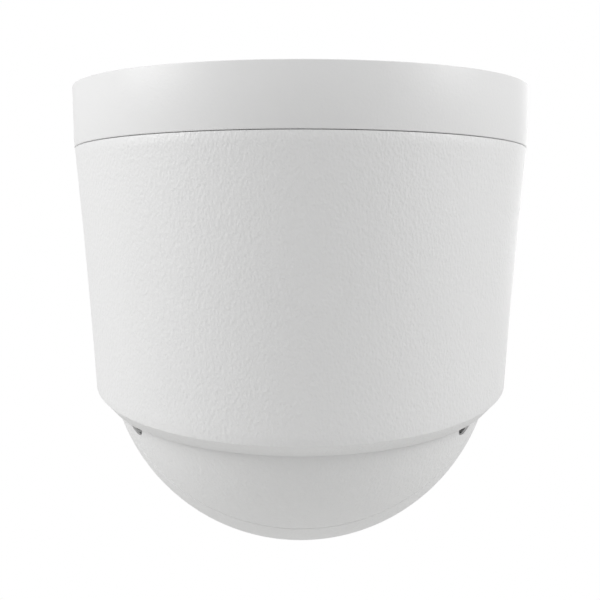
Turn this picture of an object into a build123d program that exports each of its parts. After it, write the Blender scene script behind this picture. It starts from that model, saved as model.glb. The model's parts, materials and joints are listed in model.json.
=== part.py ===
from build123d import *
import math
import os

# A ceiling-mounted PTZ dome camera. Millimetres, +Z up, origin at the centre of the face that meets the
# ceiling. The lens looks towards -Y. The base is fixed, the can and its yoke turn about Z (pan), and the
# ball turns about X on two trunnions (tilt). The ball's radius and the base band's height drive the
# outside; the sizes below them are distances from those two, or sizes of bought parts.

# Outer shape
BALL_R = 84.0            # the ball drives the can, the base and the yoke
BASE_H = 26.7            # height of the base band
WALL = 3.0               # base and can walls
EDGE = 0.5               # small rounding on moulded outer edges
SEAM = 0.3               # gap between the base and the turning can
SEAM_STEP = 0.2          # can stands this far inside the base band at the seam
BASE_DRAFT = 1.0         # base band leans out by this much up to the ceiling
CAN_MARGIN = 3.1         # ball to the can's outside, at the can's lowest level
CAN_TAPER = 11.7         # can widens by this much up to the seam
CAN_HOLLOW = 0.7         # how far the can's side bows in from a straight cone
CAN_DROP = 46.0          # can's lowest level below the tilt axis, before the mouth is cut
BALL_WALL = 2.5
BALL_GAP = 2.5           # ball to can mouth
HEADROOM = 1.0           # ball's top below the deck's top, inside the hub's bore
RIM_DROP = 13.6          # slanted mouth below the tilt axis, on the pan axis
RIM_TILT = 14.4          # slant of the mouth, lower at the back
COLLAR_H = 7.3           # height of the chamfered collar below the slanted edge
ARCH_MARGIN = 13.0       # front arch outside the window's radius
ARCH_WALL = 2.5
ARCH_FILLET = 14.0

# Base and mounting
PLATE_INSET = 16.0       # mount plate's edge inside the top radius
PLATE_T = 2.0
PLATE_HOLE_R = 48.0      # wiring hole in the mount plate
CEILING_PCD = 140.0
CEILING_HOLE_R = 2.75
CEILING_COUNT = 4
TAB_COUNT = 3
TAB_ARC = 30.0
TAB_INSET = 6.0          # tab's tip inside the top radius
TAB_T = 2.0
TAB_DROP = 2.4           # tab's top below the plate's underside
TAB_ROOT = 2.0           # thickness of the tab's upright leg
LUG_OVERLAP = 6.0        # how far a tab reaches over its lug
LUG_TOP = -0.6
FLOOR_RISE = 4.7         # floor's underside above the base's lower edge
FLOOR_T = 3.0
GROMMET_X = -34.0
GROMMET_R = 11.0
GROMMET_BORE_R = 3.5
GROMMET_H = 12.0
GROMMET_LIP = 1.5
GROMMET_LAND = 5.0       # plate round the grommet's hole
BRIDGE_HALF = 8.0        # half width of the plate's arm that carries the grommet

# Parts in the base
STANDOFF_H = 1.2
STANDOFF_R = 2.5
SUPPLY_HALF_W = 38.0     # connector board
SUPPLY_NEAR = 42.0
SUPPLY_FAR = 74.0
POST_INSET = 4.0         # board posts in from the board's edges
BOARD_T = 1.6
JACK_X = 12.0            # network jack's middle
JACK_W = 16.0
JACK_L = 21.0
JACK_H = 13.0
JACK_WALL = 2.0
JACK_FLOOR = 3.0
JACK_FRONT = 3.0         # jack's mouth in from the board's near edge
TERMINAL_X = -18.0
TERMINAL_PITCH = 6.7
TERMINAL_COUNT = 3
TERMINAL_W = 20.0
TERMINAL_L = 10.0
TERMINAL_H = 10.0
TERMINAL_R = 2.0         # screw well and half the wire slot

# Pan bearing, hub and belt drive
BEARING_R = 32.5
BEARING_SECTION = 7.5    # half of what the outer diameter exceeds the bore by
BEARING_W = 7.0
BEARING_STOP = 1.5       # boss's top left over the outer race
BALL_COUNT = 16
BEARING_BALL_R = 2.2
RACE_CLEAR = 0.08
RACE_GAP = 1.3
BOSS_WALL = 5.5
RETAINER_T = 1.0
HUB_WALL = 7.0
HUB_FLANGE_MARGIN = 5.5  # hub flange outside the bearing's radius
HUB_FLANGE_T = 1.5
HUB_SHOULDER = 2.0
NUT_T = 3.0
NUT_WIDTH = 3.5
NUT_SLOTS = 6
DECK_DROP = 2.3          # deck's top below the base's lower edge
DECK_T = 3.0
DECK_LAND = 8.0          # width of deck under the hub flange
DECK_CLEAR = 0.8
BELT_PITCH = 2.0
PULLEY_RIM = 5.93        # boss to the large pulley's pitch line
SMALL_TEETH = 20
BELT_W = 5.0
BELT_T = 0.9
BELT_CLEAR = 0.4
BELT_LIFT = 0.6          # belt above the deck
PULLEY_MARGIN = 0.2      # pulleys stand this far past the belt's lower edge
PAN_MOTOR_INSET = 5.3    # pan motor's face in from the can's upper wall
MOTOR_SIDE = 28.0
MOTOR_CORNER = 3.0
MOTOR_CAP = 5.0
MOTOR_WAIST = 0.8
PAN_MOTOR_L = 22.0
SHAFT_R = 2.5
SHAFT_HOLE_R = 5.0
RUN = 0.05               # radial running clearance of shafts
SLIP_R = 11.0
SLIP_RISE = 6.5          # slip ring's top above the hub's top
SLIP_SHAFT_R = 3.0
SLIP_FLANGE_T = 2.0
SLIP_FLOOR = 2.5         # slip ring's closed end
ARM_STRIP_T = 1.5        # strip that holds the slip ring's shaft
ARM_STRIP_HALF = 5.0
STRIP_GAP = 5.0          # strip's leg outside the boss
STRIP_LEG = 3.0
STRIP_FOOT = 11.0

# Deck screws and wire slots
M3_R = 1.5
M3_HEAD_R = 2.8
M3_HEAD_H = 1.6
LOW_HEAD_H = 1.0
POST_R = 4.2             # screw posts in the can
POST_H = 12.0
POST_SCREW = 7.0         # thread below the deck
POST_OFFSET = 3.2        # screw in from the can's inner wall
FLANGE_SCREW_INSET = 4.0
FLANGE_SCREWS = 6
FOOT_SCREW_INSET = 8.0
FOOT_SCREW_Y = 15.0
SLOT_NEAR = 10.0         # wire slots outside the hub flange
SLOT_FAR = 22.0
SLOT_ARC = 24.0
SLOT_ANGLES = (200, 340)

# Yoke and trunnions
FLAT_CUT = 5.0           # depth of the ball's flat sides
ARM_GAP = 1.3            # flat side to yoke arm
ARM_T = 3.0
ARM_TOP_HALF = 22.0
ARM_END_WALL = 5.0       # arm round the trunnion
FOOT_L = 18.3
TRUNNION_R = 9.0
TRUNNION_WALL = 4.0
TRUNNION_FLANGE = 3.0
TRUNNION_FLANGE_T = 1.7

# Head board under the deck
HEAD_HALF_W = 40.0
HEAD_L = 30.0
HEAD_EDGE = 9.8          # far edge in from the can's upper wall
HEAD_GAP = 2.5
HEAD_POST_R = 2.2
# Each chip's X, distance from the far edge, length, width and height
HEAD_CHIPS = ((-30, 6, 16, 14, 2), (4, 4, 8, 10, 6), (18, 6, 14, 10, 3))

# Tilt gear pair
GEAR_MODULE = 0.8
SUN_TEETH = 50
PINION_TEETH = 16
PRESSURE_ANGLE = 20.0
ADDENDUM = 0.85          # in modules
DEDENDUM = 1.2
FLANK_STEPS = 4
GEAR_DEPTH = 24.0        # gears' inner faces behind the ball's flat
GEAR_W = 4.0
GEAR_BACKLASH = 0.12     # taken off each tooth's thickness
CENTRE_EXTRA = 0.1       # added to the gears' centre distance
PINION_ANGLE = 184.0     # where the pinion sits about the tilt axis, from the lens direction

# Ball and what it carries, in the lens frame: X right, Y up, Z along the lens
TILT_REST = 22.0         # the lens looks this far below level at rest
SPLIT = 7.5              # shells part this far behind the ball's centre
LIP_INSET = 11.5         # lip's inside from the ball's surface
LIP_T = 3.0
SEAL_INSET = 10.0        # gasket's inside from the ball's surface
SEAL_W = 1.8
SEAL_H = 1.6
CAP_LAND = 8.0           # cap outside the shaft seal
CAP_STEP = 2.0           # cap's hidden flange, wider and as thick
CAP_BOSS_WALL = 2.0
CAP_GAP = 0.5            # cap's boss to the chassis cheek
BUSH_T = 2.0
BUSH_INSET = 1.0
SHAFT_SEAL_W = 5.0
SHAFT_SEAL_H = 4.0
SEAL_SINK = 0.4
FACE_LAND = 1.76         # flat front left outside the bezel
WINDOW_T = 3.0
WINDOW_LEDGE = 3.0
WINDOW_LEDGE_T = 2.0
WINDOW_SEAL_T = 0.8
WINDOW_CLEAR = 0.3
BEZEL_W = 3.2
BEZEL_T = 1.4
BEZEL_PROUD = 0.4
COVER_POCKET_R = 4.6
COVER_POCKET_Y = 35.0    # cover screw pockets behind the tilt axis
COVER_POCKET_DROP = 31.0  # and below it
COVER_POCKET_DEPTH = 15.0  # pocket's floor behind the ball's flat
COVER_POCKET_WALL = 2.0
COVER_SCREW = 8.0

# Infrared lights
IR_DEPTH = 16.2          # boards behind the window's seat
IR_MARGIN = 2.7          # optics in from the window's ledge
IR_STEP = 36.0
IR_PER_SIDE = 3
IR_ARC = 140.0
LED_SIDE = 3.4
LED_H = 1.4
OPTIC_R = 7.8
OPTIC_H = 10.5
OPTIC_GAP = 3.2          # optics outside the baffle
BAFFLE_GAP = 2.5         # baffle's outside from the barrel
BAFFLE_T = 2.0
SINK_T = 4.0
SINK_TRIM = 36.0         # flats above and below
SINK_BORE_GAP = 0.6
FIN_H = 8.0
FIN_COUNT = 5
FIN_T = 1.6
FIN_PITCH = 4.0

# Zoom block
BLOCK_W = 52.0
BLOCK_H = 54.0
BLOCK_L = 52.0
BLOCK_WALL = 2.0
BLOCK_DEPTH = 28.0       # block's front behind the infrared boards
BARREL_R = 20.0
BARREL_T = 2.5
BARREL_DEPTH = 6.2       # barrel's end behind the window's seat
FRONT_LENS_T = 6.0
FRONT_LENS_SINK = 2.0
ROD_R = 1.5
ROD_AT = 17.0
ROD_EYE = 2.0
ZOOM_LENS_R = 12.0
ZOOM_T = 6.0
ZOOM_INSET = 10.0        # zoom carriage behind the block's front at rest
ZOOM_SCREW_R = 1.5
ZOOM_SCREW_AT = (-19.0, 12.0)
IRIS_INSET = 21.0        # iris in front of the block's back
IRIS_T = 0.6
IRIS_STAGGER = 0.5
IRIS_HALF_W = 11.0
IRIS_HOLE_R = 8.5
FOCUS_LENS_R = 9.0
FOCUS_T = 5.0
FOCUS_INSET = 12.0
FILTER_INSET = 5.0
FILTER_T = 1.5
FILTER_TRAVEL = 12.0
SENSOR_SIDE = 12.0
SENSOR_H = 2.5
SENSOR_BOARD_HALF = 22.0
SENSOR_CHIPS = ((-16, -20, 12, 8, 2), (6, 10, 12, 10, 4))  # x, y, length, width, height
CARRIAGE_WALL = 2.5
VIDEO_GAP = 8.0          # video board beside the block
VIDEO_POST_R = 2.2

# Chassis and tilt motor
CHEEK_GAP = 2.0
CHEEK_T = 2.5
CHEEK_HALF = 18.0
TRAY_GAP = 4.0           # tray under the block
TRAY_T = 3.0
TRAY_BACK = -30.0
TRAY_FRONT = 12.0        # tray in front of the block's front
CHASSIS_CLEAR = 3.0      # frame's corners to the ball's inside
TILT_MOTOR_L = 20.0
MOTOR_GAP = 2.0          # bracket to pinion
BRACKET_T = 2.0
EAR_T = 6.0
EAR_HALF = 5.0
EAR_GAP = 3.5            # ear to the pocket's floor

# Places that follow from the sizes above
IR_CIRCLE_R = BARREL_R + BAFFLE_GAP + OPTIC_GAP + OPTIC_R
WINDOW_R = IR_CIRCLE_R + OPTIC_R + IR_MARGIN + WINDOW_LEDGE
CAN_LOW_R = BALL_R + CAN_MARGIN
CAN_TOP_R = CAN_LOW_R + CAN_TAPER
BASE_LOW_R = CAN_TOP_R + SEAM_STEP
TOP_R = BASE_LOW_R + BASE_DRAFT
PLATE_R = TOP_R - PLATE_INSET
TAB_R = TOP_R - TAB_INSET
LUG_R = TAB_R - LUG_OVERLAP
CAN_TOP_Z = -BASE_H - SEAM
FLOOR_LOW_Z = -BASE_H + FLOOR_RISE
FLOOR_Z = FLOOR_LOW_Z + FLOOR_T
SUPPLY_Z = FLOOR_Z + STANDOFF_H
DECK_Z = -BASE_H - DECK_DROP
DECK_LOW_Z = DECK_Z - DECK_T
BALL_Z = DECK_Z - HEADROOM - BALL_R
RIM_Z = BALL_Z - RIM_DROP
CAN_LOW_Z = BALL_Z - CAN_DROP
ARCH_R = WINDOW_R + ARCH_MARGIN
BOSS_R = BEARING_R + BOSS_WALL
BEARING_BORE_R = BEARING_R - BEARING_SECTION
BEARING_TOP_Z = FLOOR_Z - BEARING_STOP
BEARING_LOW_Z = BEARING_TOP_Z - BEARING_W
BEARING_MID_Z = (BEARING_TOP_Z + BEARING_LOW_Z) / 2
BALL_PITCH_R = (BEARING_R + BEARING_BORE_R) / 2
HUB_BORE_R = BEARING_BORE_R - HUB_WALL
HUB_TOP_Z = BEARING_TOP_Z + NUT_T
HUB_FLANGE_R = BEARING_R + HUB_FLANGE_MARGIN
SLIP_TOP_Z = HUB_TOP_Z + SLIP_RISE
BIG_TEETH = round((BOSS_R + PULLEY_RIM) * math.tau / BELT_PITCH)
BIG_R = BIG_TEETH * BELT_PITCH / math.tau
SMALL_R = SMALL_TEETH * BELT_PITCH / math.tau
BELT_LOW_Z = DECK_Z + BELT_LIFT
BELT_TOP_Z = BELT_LOW_Z + BELT_W
PAN_MOTOR_Y = CAN_TOP_R - WALL - PAN_MOTOR_INSET - MOTOR_SIDE / 2
FLAT_X = BALL_R - FLAT_CUT
ARM_X = FLAT_X + ARM_GAP
ARM_OUT_X = ARM_X + ARM_T
FOOT_IN_X = ARM_X - FOOT_L
ARM_END_R = TRUNNION_R + ARM_END_WALL
GEAR_X = FLAT_X - GEAR_DEPTH
TRUNNION_END_X = GEAR_X - 1
SUN_R = SUN_TEETH * GEAR_MODULE / 2
PINION_R = PINION_TEETH * GEAR_MODULE / 2
GEAR_CENTRES = SUN_R + PINION_R + CENTRE_EXTRA
PINION_Y = GEAR_CENTRES * math.sin(math.radians(PINION_ANGLE))
PINION_Z = GEAR_CENTRES * math.cos(math.radians(PINION_ANGLE))
SHAFT_SEAL_R = TRUNNION_R + SHAFT_SEAL_W
BUSH_END_X = FLAT_X - SHAFT_SEAL_H
CAP_R = SHAFT_SEAL_R + CAP_LAND
CAP_SEAT_R = CAP_R + CAP_STEP
CHEEK_X = GEAR_X + GEAR_W + CHEEK_GAP
CAP_END_X = CHEEK_X + CHEEK_T + CAP_GAP
COVER_POCKET_X = FLAT_X - COVER_POCKET_DEPTH
FACE_R = WINDOW_R + BEZEL_W + FACE_LAND
FRONT_FLAT = round(math.sqrt(BALL_R ** 2 - FACE_R ** 2), 2)
BEZEL_LOW_Z = FRONT_FLAT + BEZEL_PROUD - BEZEL_T
RECESS_Z = FRONT_FLAT - WINDOW_T - WINDOW_SEAL_T
IR_BOARD_Z = RECESS_Z - IR_DEPTH
IR_BOARD_R = WINDOW_R - 1
BARREL_END = RECESS_Z - BARREL_DEPTH
BAFFLE_R = BARREL_R + BAFFLE_GAP
BLOCK_FRONT = IR_BOARD_Z - BLOCK_DEPTH
BLOCK_REAR = BLOCK_FRONT - BLOCK_L
ZOOM_REST = BLOCK_FRONT - ZOOM_INSET
FOCUS_REST = BLOCK_REAR + FOCUS_INSET
IRIS_Z = BLOCK_REAR + IRIS_INSET
FILTER_Z = BLOCK_REAR + FILTER_INSET
TRAY_Y = -BLOCK_H / 2 - TRAY_GAP - TRAY_T
TILT_MOTOR_X = GEAR_X - MOTOR_GAP - BRACKET_T - TILT_MOTOR_L
LENS = Pos(0, 0, BALL_Z) * Rot(90 + TILT_REST, 0, 0)
MOUTH = Pos(0, 0, RIM_Z) * Rot(-RIM_TILT, 0, 0)
BELOW_MOUTH = MOUTH * Pos(0, 0, -TOP_R) * Box(4 * TOP_R, 4 * TOP_R, 2 * TOP_R)
PARTS = {}


def keep(name, shape):
    """Remember one finished piece under its node name."""
    PARTS[name] = shape


def cyl(radius, low, high):
    """A round bar along Z between two heights."""
    return Pos(0, 0, (low + high) / 2) * Cylinder(radius, abs(high - low))


def tube(outer, inner, low, high):
    """A round tube along Z."""
    return cyl(outer, low, high) - cyl(inner, low - 1, high + 1)


def block(x0, x1, y0, y1, z0, z1):
    """A box given by its two corners."""
    centre = Pos((x0 + x1) / 2, (y0 + y1) / 2, (z0 + z1) / 2)
    return centre * Box(abs(x1 - x0), abs(y1 - y0), abs(z1 - z0))


def sector(r_in, r_out, low, high, middle, arc):
    """Part of a flat ring, centred on an angle about Z."""
    face = Plane.XZ * Pos((r_in + r_out) / 2, (low + high) / 2) * Rectangle(r_out - r_in, high - low)
    return Rot(0, 0, middle - arc / 2) * revolve(face, Axis.Z, arc)


def polar(radius, angle, height=0.0):
    """A place on a circle about Z."""
    turn = math.radians(angle)
    return Pos(radius * math.cos(turn), radius * math.sin(turn), height)


def tilt_axis(shape):
    """Lay a shape built along Z onto the tilt axis, pointing to +X."""
    return Pos(0, 0, BALL_Z) * Rot(0, 90, 0) * shape


def other_side(shape):
    """The same piece on the -X side."""
    return shape.mirror(Plane.YZ)


def side_arc(wall):
    """The can's bowed side, moved in by a wall."""
    middle_r = (CAN_TOP_R + CAN_LOW_R) / 2 - CAN_HOLLOW - wall
    middle_z = (CAN_TOP_Z + CAN_LOW_Z) / 2
    return ThreePointArc((CAN_TOP_R - wall, CAN_TOP_Z), (middle_r, middle_z), (CAN_LOW_R - wall, CAN_LOW_Z))


def can_solid(wall):
    """The can's outline filled solid, smaller all round by a wall."""
    side = side_arc(wall)
    rest = Polyline(side @ 1, (0, CAN_LOW_Z), (0, CAN_TOP_Z), side @ 0)
    return revolve(Plane.XZ * make_face(side + rest), Axis.Z, 360)


def can_inner_r(height):
    """Radius of the can's inner wall at a height, on the bowed side's chord and sag."""
    share = (CAN_TOP_Z - height) / (CAN_TOP_Z - CAN_LOW_Z)
    chord = CAN_TOP_R + (CAN_LOW_R - CAN_TOP_R) * share
    return chord - CAN_HOLLOW * 4 * share * (1 - share) - WALL


def belt_wheel(teeth, low, high):
    """A toothed belt pulley: trapezoid teeth on its pitch circle."""
    pitch_r = teeth * BELT_PITCH / math.tau
    tip = pitch_r - 0.25
    root = pitch_r - 1.0
    step = math.tau / teeth
    points = []
    for number in range(teeth):
        for share, radius in ((-0.32, root), (-0.2, tip), (0.2, tip), (0.32, root)):
            turn = (number + share) * step
            points.append((radius * math.cos(turn), radius * math.sin(turn)))
    face = make_face(Polyline(*points, close=True))
    return Pos(0, 0, low) * extrude(face, high - low)


def spur_gear(teeth, low, high):
    """An involute spur gear with slightly thin teeth."""
    pitch_r = teeth * GEAR_MODULE / 2
    pressure = math.radians(PRESSURE_ANGLE)
    base_r = pitch_r * math.cos(pressure)
    tip_r = pitch_r + ADDENDUM * GEAR_MODULE
    root_r = pitch_r - DEDENDUM * GEAR_MODULE
    start_r = max(base_r, root_r)
    flank_at_pitch = math.tan(pressure) - pressure
    half = (math.pi * GEAR_MODULE / 2 - GEAR_BACKLASH) / (2 * pitch_r) + flank_at_pitch
    points = []
    for number in range(teeth):
        middle = number * math.tau / teeth
        flank = [(root_r, half)]
        for step in range(FLANK_STEPS + 1):
            radius = start_r + (tip_r - start_r) * step / FLANK_STEPS
            roll = math.sqrt(max(0.0, (radius / base_r) ** 2 - 1))
            flank.append((radius, half - (roll - math.atan(roll))))
        for radius, offset in flank:
            points.append((radius * math.cos(middle - offset), radius * math.sin(middle - offset)))
        for radius, offset in reversed(flank):
            points.append((radius * math.cos(middle + offset), radius * math.sin(middle + offset)))
    face = make_face(Polyline(*points, close=True))
    return Pos(0, 0, low) * extrude(face, high - low)


# ---------------------------------------------------------------------------------------- fixed base

def tab_angles():
    """Where the bayonet tabs sit round the base."""
    return [90 + 360 / TAB_COUNT * number for number in range(TAB_COUNT)]


def ceiling_angles():
    """Where the ceiling screws sit round the mount plate."""
    return [45 + 360 / CEILING_COUNT * number for number in range(CEILING_COUNT)]


def make_mount_plate():
    """Steel plate screwed to the ceiling, with three dropped tabs that the base hangs on."""
    tab_top = -PLATE_T - TAB_DROP
    plate = tube(PLATE_R, PLATE_HOLE_R, -PLATE_T, 0)
    for angle in tab_angles():
        plate += sector(PLATE_R - TAB_ROOT, PLATE_R, tab_top - TAB_T, 0, angle, TAB_ARC)
        plate += sector(PLATE_R - TAB_ROOT, TAB_R, tab_top - TAB_T, tab_top, angle, TAB_ARC)
    for angle in ceiling_angles():
        plate -= polar(CEILING_PCD / 2, angle) * cyl(CEILING_HOLE_R, -PLATE_T - 1, 1)
    plate += Pos(GROMMET_X, 0, 0) * cyl(GROMMET_R + GROMMET_LAND, -PLATE_T, 0)
    plate += block(-PLATE_HOLE_R - 2, GROMMET_X, -BRIDGE_HALF, BRIDGE_HALF, -PLATE_T, 0)
    plate -= Pos(GROMMET_X, 0, 0) * cyl(GROMMET_R, -PLATE_T - 1, 1)
    return plate


def make_cable_grommet():
    """Rubber grommet that the network cable passes through, gripping the plate's edge in a groove."""
    body = cyl(GROMMET_R, -GROMMET_H, 0) + cyl(GROMMET_R + GROMMET_LIP, -PLATE_T - GROMMET_LIP, -PLATE_T)
    body -= cyl(GROMMET_BORE_R, -GROMMET_H - 1, 1)
    return Pos(GROMMET_X, 0, 0) * body


def base_side(wall):
    """The base band's outline filled solid, smaller by a wall."""
    points = [(0, 0), (TOP_R - wall, 0), (BASE_LOW_R - wall, -BASE_H), (0, -BASE_H)]
    return revolve(Plane.XZ * make_face(Polyline(*points, close=True)), Axis.Z, 360)


def make_base_housing():
    """Die-cast base: outer band, floor, bayonet lugs and the bearing boss."""
    outer = base_side(0)
    outer = fillet(outer.edges().filter_by(GeomType.CIRCLE).group_by(Axis.Z)[0], EDGE)
    hollow = base_side(WALL)
    body = outer - (hollow - block(-TOP_R, TOP_R, -TOP_R, TOP_R, FLOOR_LOW_Z, FLOOR_Z))
    body += cyl(BOSS_R, BEARING_LOW_Z, FLOOR_Z)
    body -= cyl(BEARING_R, BEARING_LOW_Z - 1, BEARING_TOP_Z)
    body -= cyl(BEARING_R - BEARING_STOP, BEARING_TOP_Z - 1, FLOOR_Z + 1)
    lug_low = -PLATE_T - TAB_DROP
    for angle in tab_angles():
        body += sector(LUG_R, TOP_R, lug_low, LUG_TOP, angle, TAB_ARC) & base_side(WALL / 2)
    return body


def make_connector_board():
    """Board on four standoffs that carries the network jack and the power terminals."""
    board = block(-SUPPLY_HALF_W, SUPPLY_HALF_W, -SUPPLY_FAR, -SUPPLY_NEAR, SUPPLY_Z, SUPPLY_Z + BOARD_T)
    post_x = SUPPLY_HALF_W - POST_INSET
    for x in (-post_x, post_x):
        for y in (-SUPPLY_FAR + POST_INSET, -SUPPLY_NEAR - POST_INSET):
            board += Pos(x, y, 0) * cyl(STANDOFF_R, FLOOR_Z, SUPPLY_Z)
    return board


def make_ethernet_jack():
    """Network jack with its port facing the middle of the base."""
    low = SUPPLY_Z + BOARD_T
    half = JACK_W / 2
    front = -SUPPLY_NEAR - JACK_FRONT
    shell = block(-half, half, front - JACK_L, front, low, low + JACK_H)
    inner = half - JACK_WALL
    back = front - JACK_L + 2 * JACK_FLOOR
    port = block(-inner, inner, back, front + 1, low + JACK_FLOOR, low + JACK_H - JACK_WALL)
    return Pos(JACK_X, 0, 0) * (shell - port)


def make_terminal_block():
    """Screw terminals for the power leads."""
    low = SUPPLY_Z + BOARD_T
    half = TERMINAL_W / 2
    front = -SUPPLY_NEAR - 2 * POST_INSET
    body = block(-half, half, front - TERMINAL_L, front, low, low + TERMINAL_H)
    middle = low + TERMINAL_H / 2
    for number in range(TERMINAL_COUNT):
        x = (number - (TERMINAL_COUNT - 1) / 2) * TERMINAL_PITCH
        body -= Pos(x, front - TERMINAL_L + 3, 0) * cyl(TERMINAL_R, middle, low + TERMINAL_H + 1)
        body -= block(x - TERMINAL_R, x + TERMINAL_R, front - 1.5, front + 1, low + 1, middle)
    return Pos(TERMINAL_X, 0, 0) * body


def make_slip_ring_rotor():
    """Fixed inner shaft of the slip ring, held from turning by a strip screwed to the base floor."""
    strip_low = SLIP_TOP_Z + ARM_STRIP_T
    strip_top = strip_low + ARM_STRIP_T
    leg_x = BOSS_R + STRIP_GAP
    half = ARM_STRIP_HALF
    shaft = cyl(SLIP_SHAFT_R, DECK_Z + SLIP_FLOOR + 0.5, strip_top + 2)
    strip = block(0, leg_x + STRIP_LEG, -half, half, strip_low, strip_top)
    leg = block(leg_x, leg_x + STRIP_LEG, -half, half, FLOOR_Z, strip_top)
    foot = block(leg_x, leg_x + STRIP_FOOT, -half, half, FLOOR_Z, FLOOR_Z + ARM_STRIP_T)
    return shaft + strip + leg + foot


def race_groove():
    """Ring of space that the bearing's balls run in."""
    return Pos(0, 0, BEARING_MID_Z) * Torus(BALL_PITCH_R, BEARING_BALL_R + RACE_CLEAR)


def make_bearing():
    """Thin-section ball bearing: outer race in the base, inner race and balls on the hub."""
    outer = tube(BEARING_R, BALL_PITCH_R + RACE_GAP, BEARING_LOW_Z, BEARING_TOP_Z) - race_groove()
    inner = tube(BALL_PITCH_R - RACE_GAP, BEARING_BORE_R, BEARING_LOW_Z, BEARING_TOP_Z) - race_groove()
    balls = []
    for number in range(BALL_COUNT):
        balls.append(polar(BALL_PITCH_R, 360 / BALL_COUNT * number, BEARING_MID_Z) * Sphere(BEARING_BALL_R))
    return outer, inner, Compound(balls)


def make_retainer():
    """Ring that holds the bearing's outer race up in its boss."""
    return tube(BOSS_R, BEARING_R - BEARING_STOP, BEARING_LOW_Z - RETAINER_T, BEARING_LOW_Z)


def make_fixed_pulley():
    """Large toothed ring fixed round the boss, which the pan belt climbs round."""
    wheel = belt_wheel(BIG_TEETH, BELT_LOW_Z - PULLEY_MARGIN, FLOOR_LOW_Z)
    return wheel - cyl(BOSS_R, DECK_Z, FLOOR_Z)


# ---------------------------------------------------------------------------------------- pan assembly

def make_pan_hub():
    """Hollow hub through the bearing, with a flange let into the deck."""
    body = cyl(BEARING_BORE_R, DECK_Z, HUB_TOP_Z)
    body += cyl(BEARING_BORE_R + HUB_SHOULDER, DECK_Z, BEARING_LOW_Z)
    body += cyl(HUB_FLANGE_R, DECK_Z - HUB_FLANGE_T, DECK_Z)
    body -= cyl(HUB_BORE_R, DECK_Z - DECK_T, HUB_TOP_Z + 1)
    body += tube(HUB_BORE_R, SLIP_R + 2, DECK_Z - HUB_FLANGE_T, DECK_Z)
    for r, angle in deck_screw_places()[1]:
        body -= polar(r, angle) * cyl(M3_R, DECK_LOW_Z, DECK_Z + 1)
    return body


def make_hub_nut():
    """Ring nut that keeps the hub up in the bearing."""
    nut_r = BEARING_BORE_R + NUT_WIDTH
    nut = tube(nut_r, BEARING_BORE_R, BEARING_TOP_Z, HUB_TOP_Z)
    for number in range(NUT_SLOTS):
        slot = block(nut_r - 1.2, nut_r + 1.2, -1.5, 1.5, BEARING_TOP_Z + 1, HUB_TOP_Z + 1)
        nut -= Rot(0, 0, 360 / NUT_SLOTS * number) * slot
    return nut


def make_slip_ring_body():
    """Turning outer body of the slip ring, flanged onto the hub."""
    body = cyl(SLIP_R, DECK_Z, SLIP_TOP_Z) + cyl(HUB_BORE_R, DECK_Z, DECK_Z + SLIP_FLANGE_T)
    return body - cyl(SLIP_SHAFT_R + RUN, DECK_Z + SLIP_FLOOR, SLIP_TOP_Z + 1)


def deck_screw_places():
    """Deck screws: into the can's bosses, round the hub, and into the yoke feet."""
    can = [(can_inner_r(DECK_LOW_Z) - POST_OFFSET, angle) for angle in (45, 135, 225, 315)]
    step = 360 / FLANGE_SCREWS
    hub = [(HUB_FLANGE_R - FLANGE_SCREW_INSET, (number + 0.5) * step) for number in range(FLANGE_SCREWS)]
    return can, hub


def make_pan_deck():
    """Round deck that carries the can, the yoke, the pan motor and the head board."""
    radius = can_inner_r(DECK_Z) - DECK_CLEAR
    deck = tube(radius, HUB_FLANGE_R - DECK_LAND, DECK_LOW_Z, DECK_Z)
    deck -= cyl(HUB_FLANGE_R, DECK_Z - HUB_FLANGE_T, DECK_Z + 1)
    deck -= Pos(0, PAN_MOTOR_Y, 0) * cyl(SHAFT_HOLE_R, DECK_LOW_Z - 1, DECK_Z + 1)
    can, hub = deck_screw_places()
    for r, angle in can + hub:
        deck -= polar(r, angle) * cyl(M3_R, DECK_LOW_Z - 1, DECK_Z + 1)
    for x, y in foot_screws():
        deck -= Pos(x, y, 0) * cyl(M3_R, DECK_LOW_Z - 1, DECK_Z + 1)
    for angle in SLOT_ANGLES:
        near = HUB_FLANGE_R + SLOT_NEAR
        deck -= sector(near, HUB_FLANGE_R + SLOT_FAR, DECK_LOW_Z - 1, DECK_Z + 1, angle, SLOT_ARC)
    return deck


def foot_screws():
    """Places of the screws that hold the two yoke feet."""
    x = FOOT_IN_X + FOOT_SCREW_INSET
    return [(-x, -FOOT_SCREW_Y), (-x, FOOT_SCREW_Y), (x, -FOOT_SCREW_Y), (x, FOOT_SCREW_Y)]


def make_deck_screws():
    """Screws that come down through the deck, flush with the hub flange where they hold it."""
    group = []
    can, hub = deck_screw_places()
    for r, angle in can:
        long_screw = cyl(M3_HEAD_R, 0, LOW_HEAD_H) + cyl(M3_R, -DECK_T - POST_SCREW, 0)
        group.append(polar(r, angle, DECK_Z) * long_screw)
    for x, y in foot_screws():
        group.append(Pos(x, y, DECK_Z) * (cyl(M3_HEAD_R, 0, LOW_HEAD_H) + cyl(M3_R, -DECK_T - ARM_T, 0)))
    for r, angle in hub:
        group.append(polar(r, angle, DECK_Z) * cyl(M3_R, -DECK_T, 0))
    return Compound(group)


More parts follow.
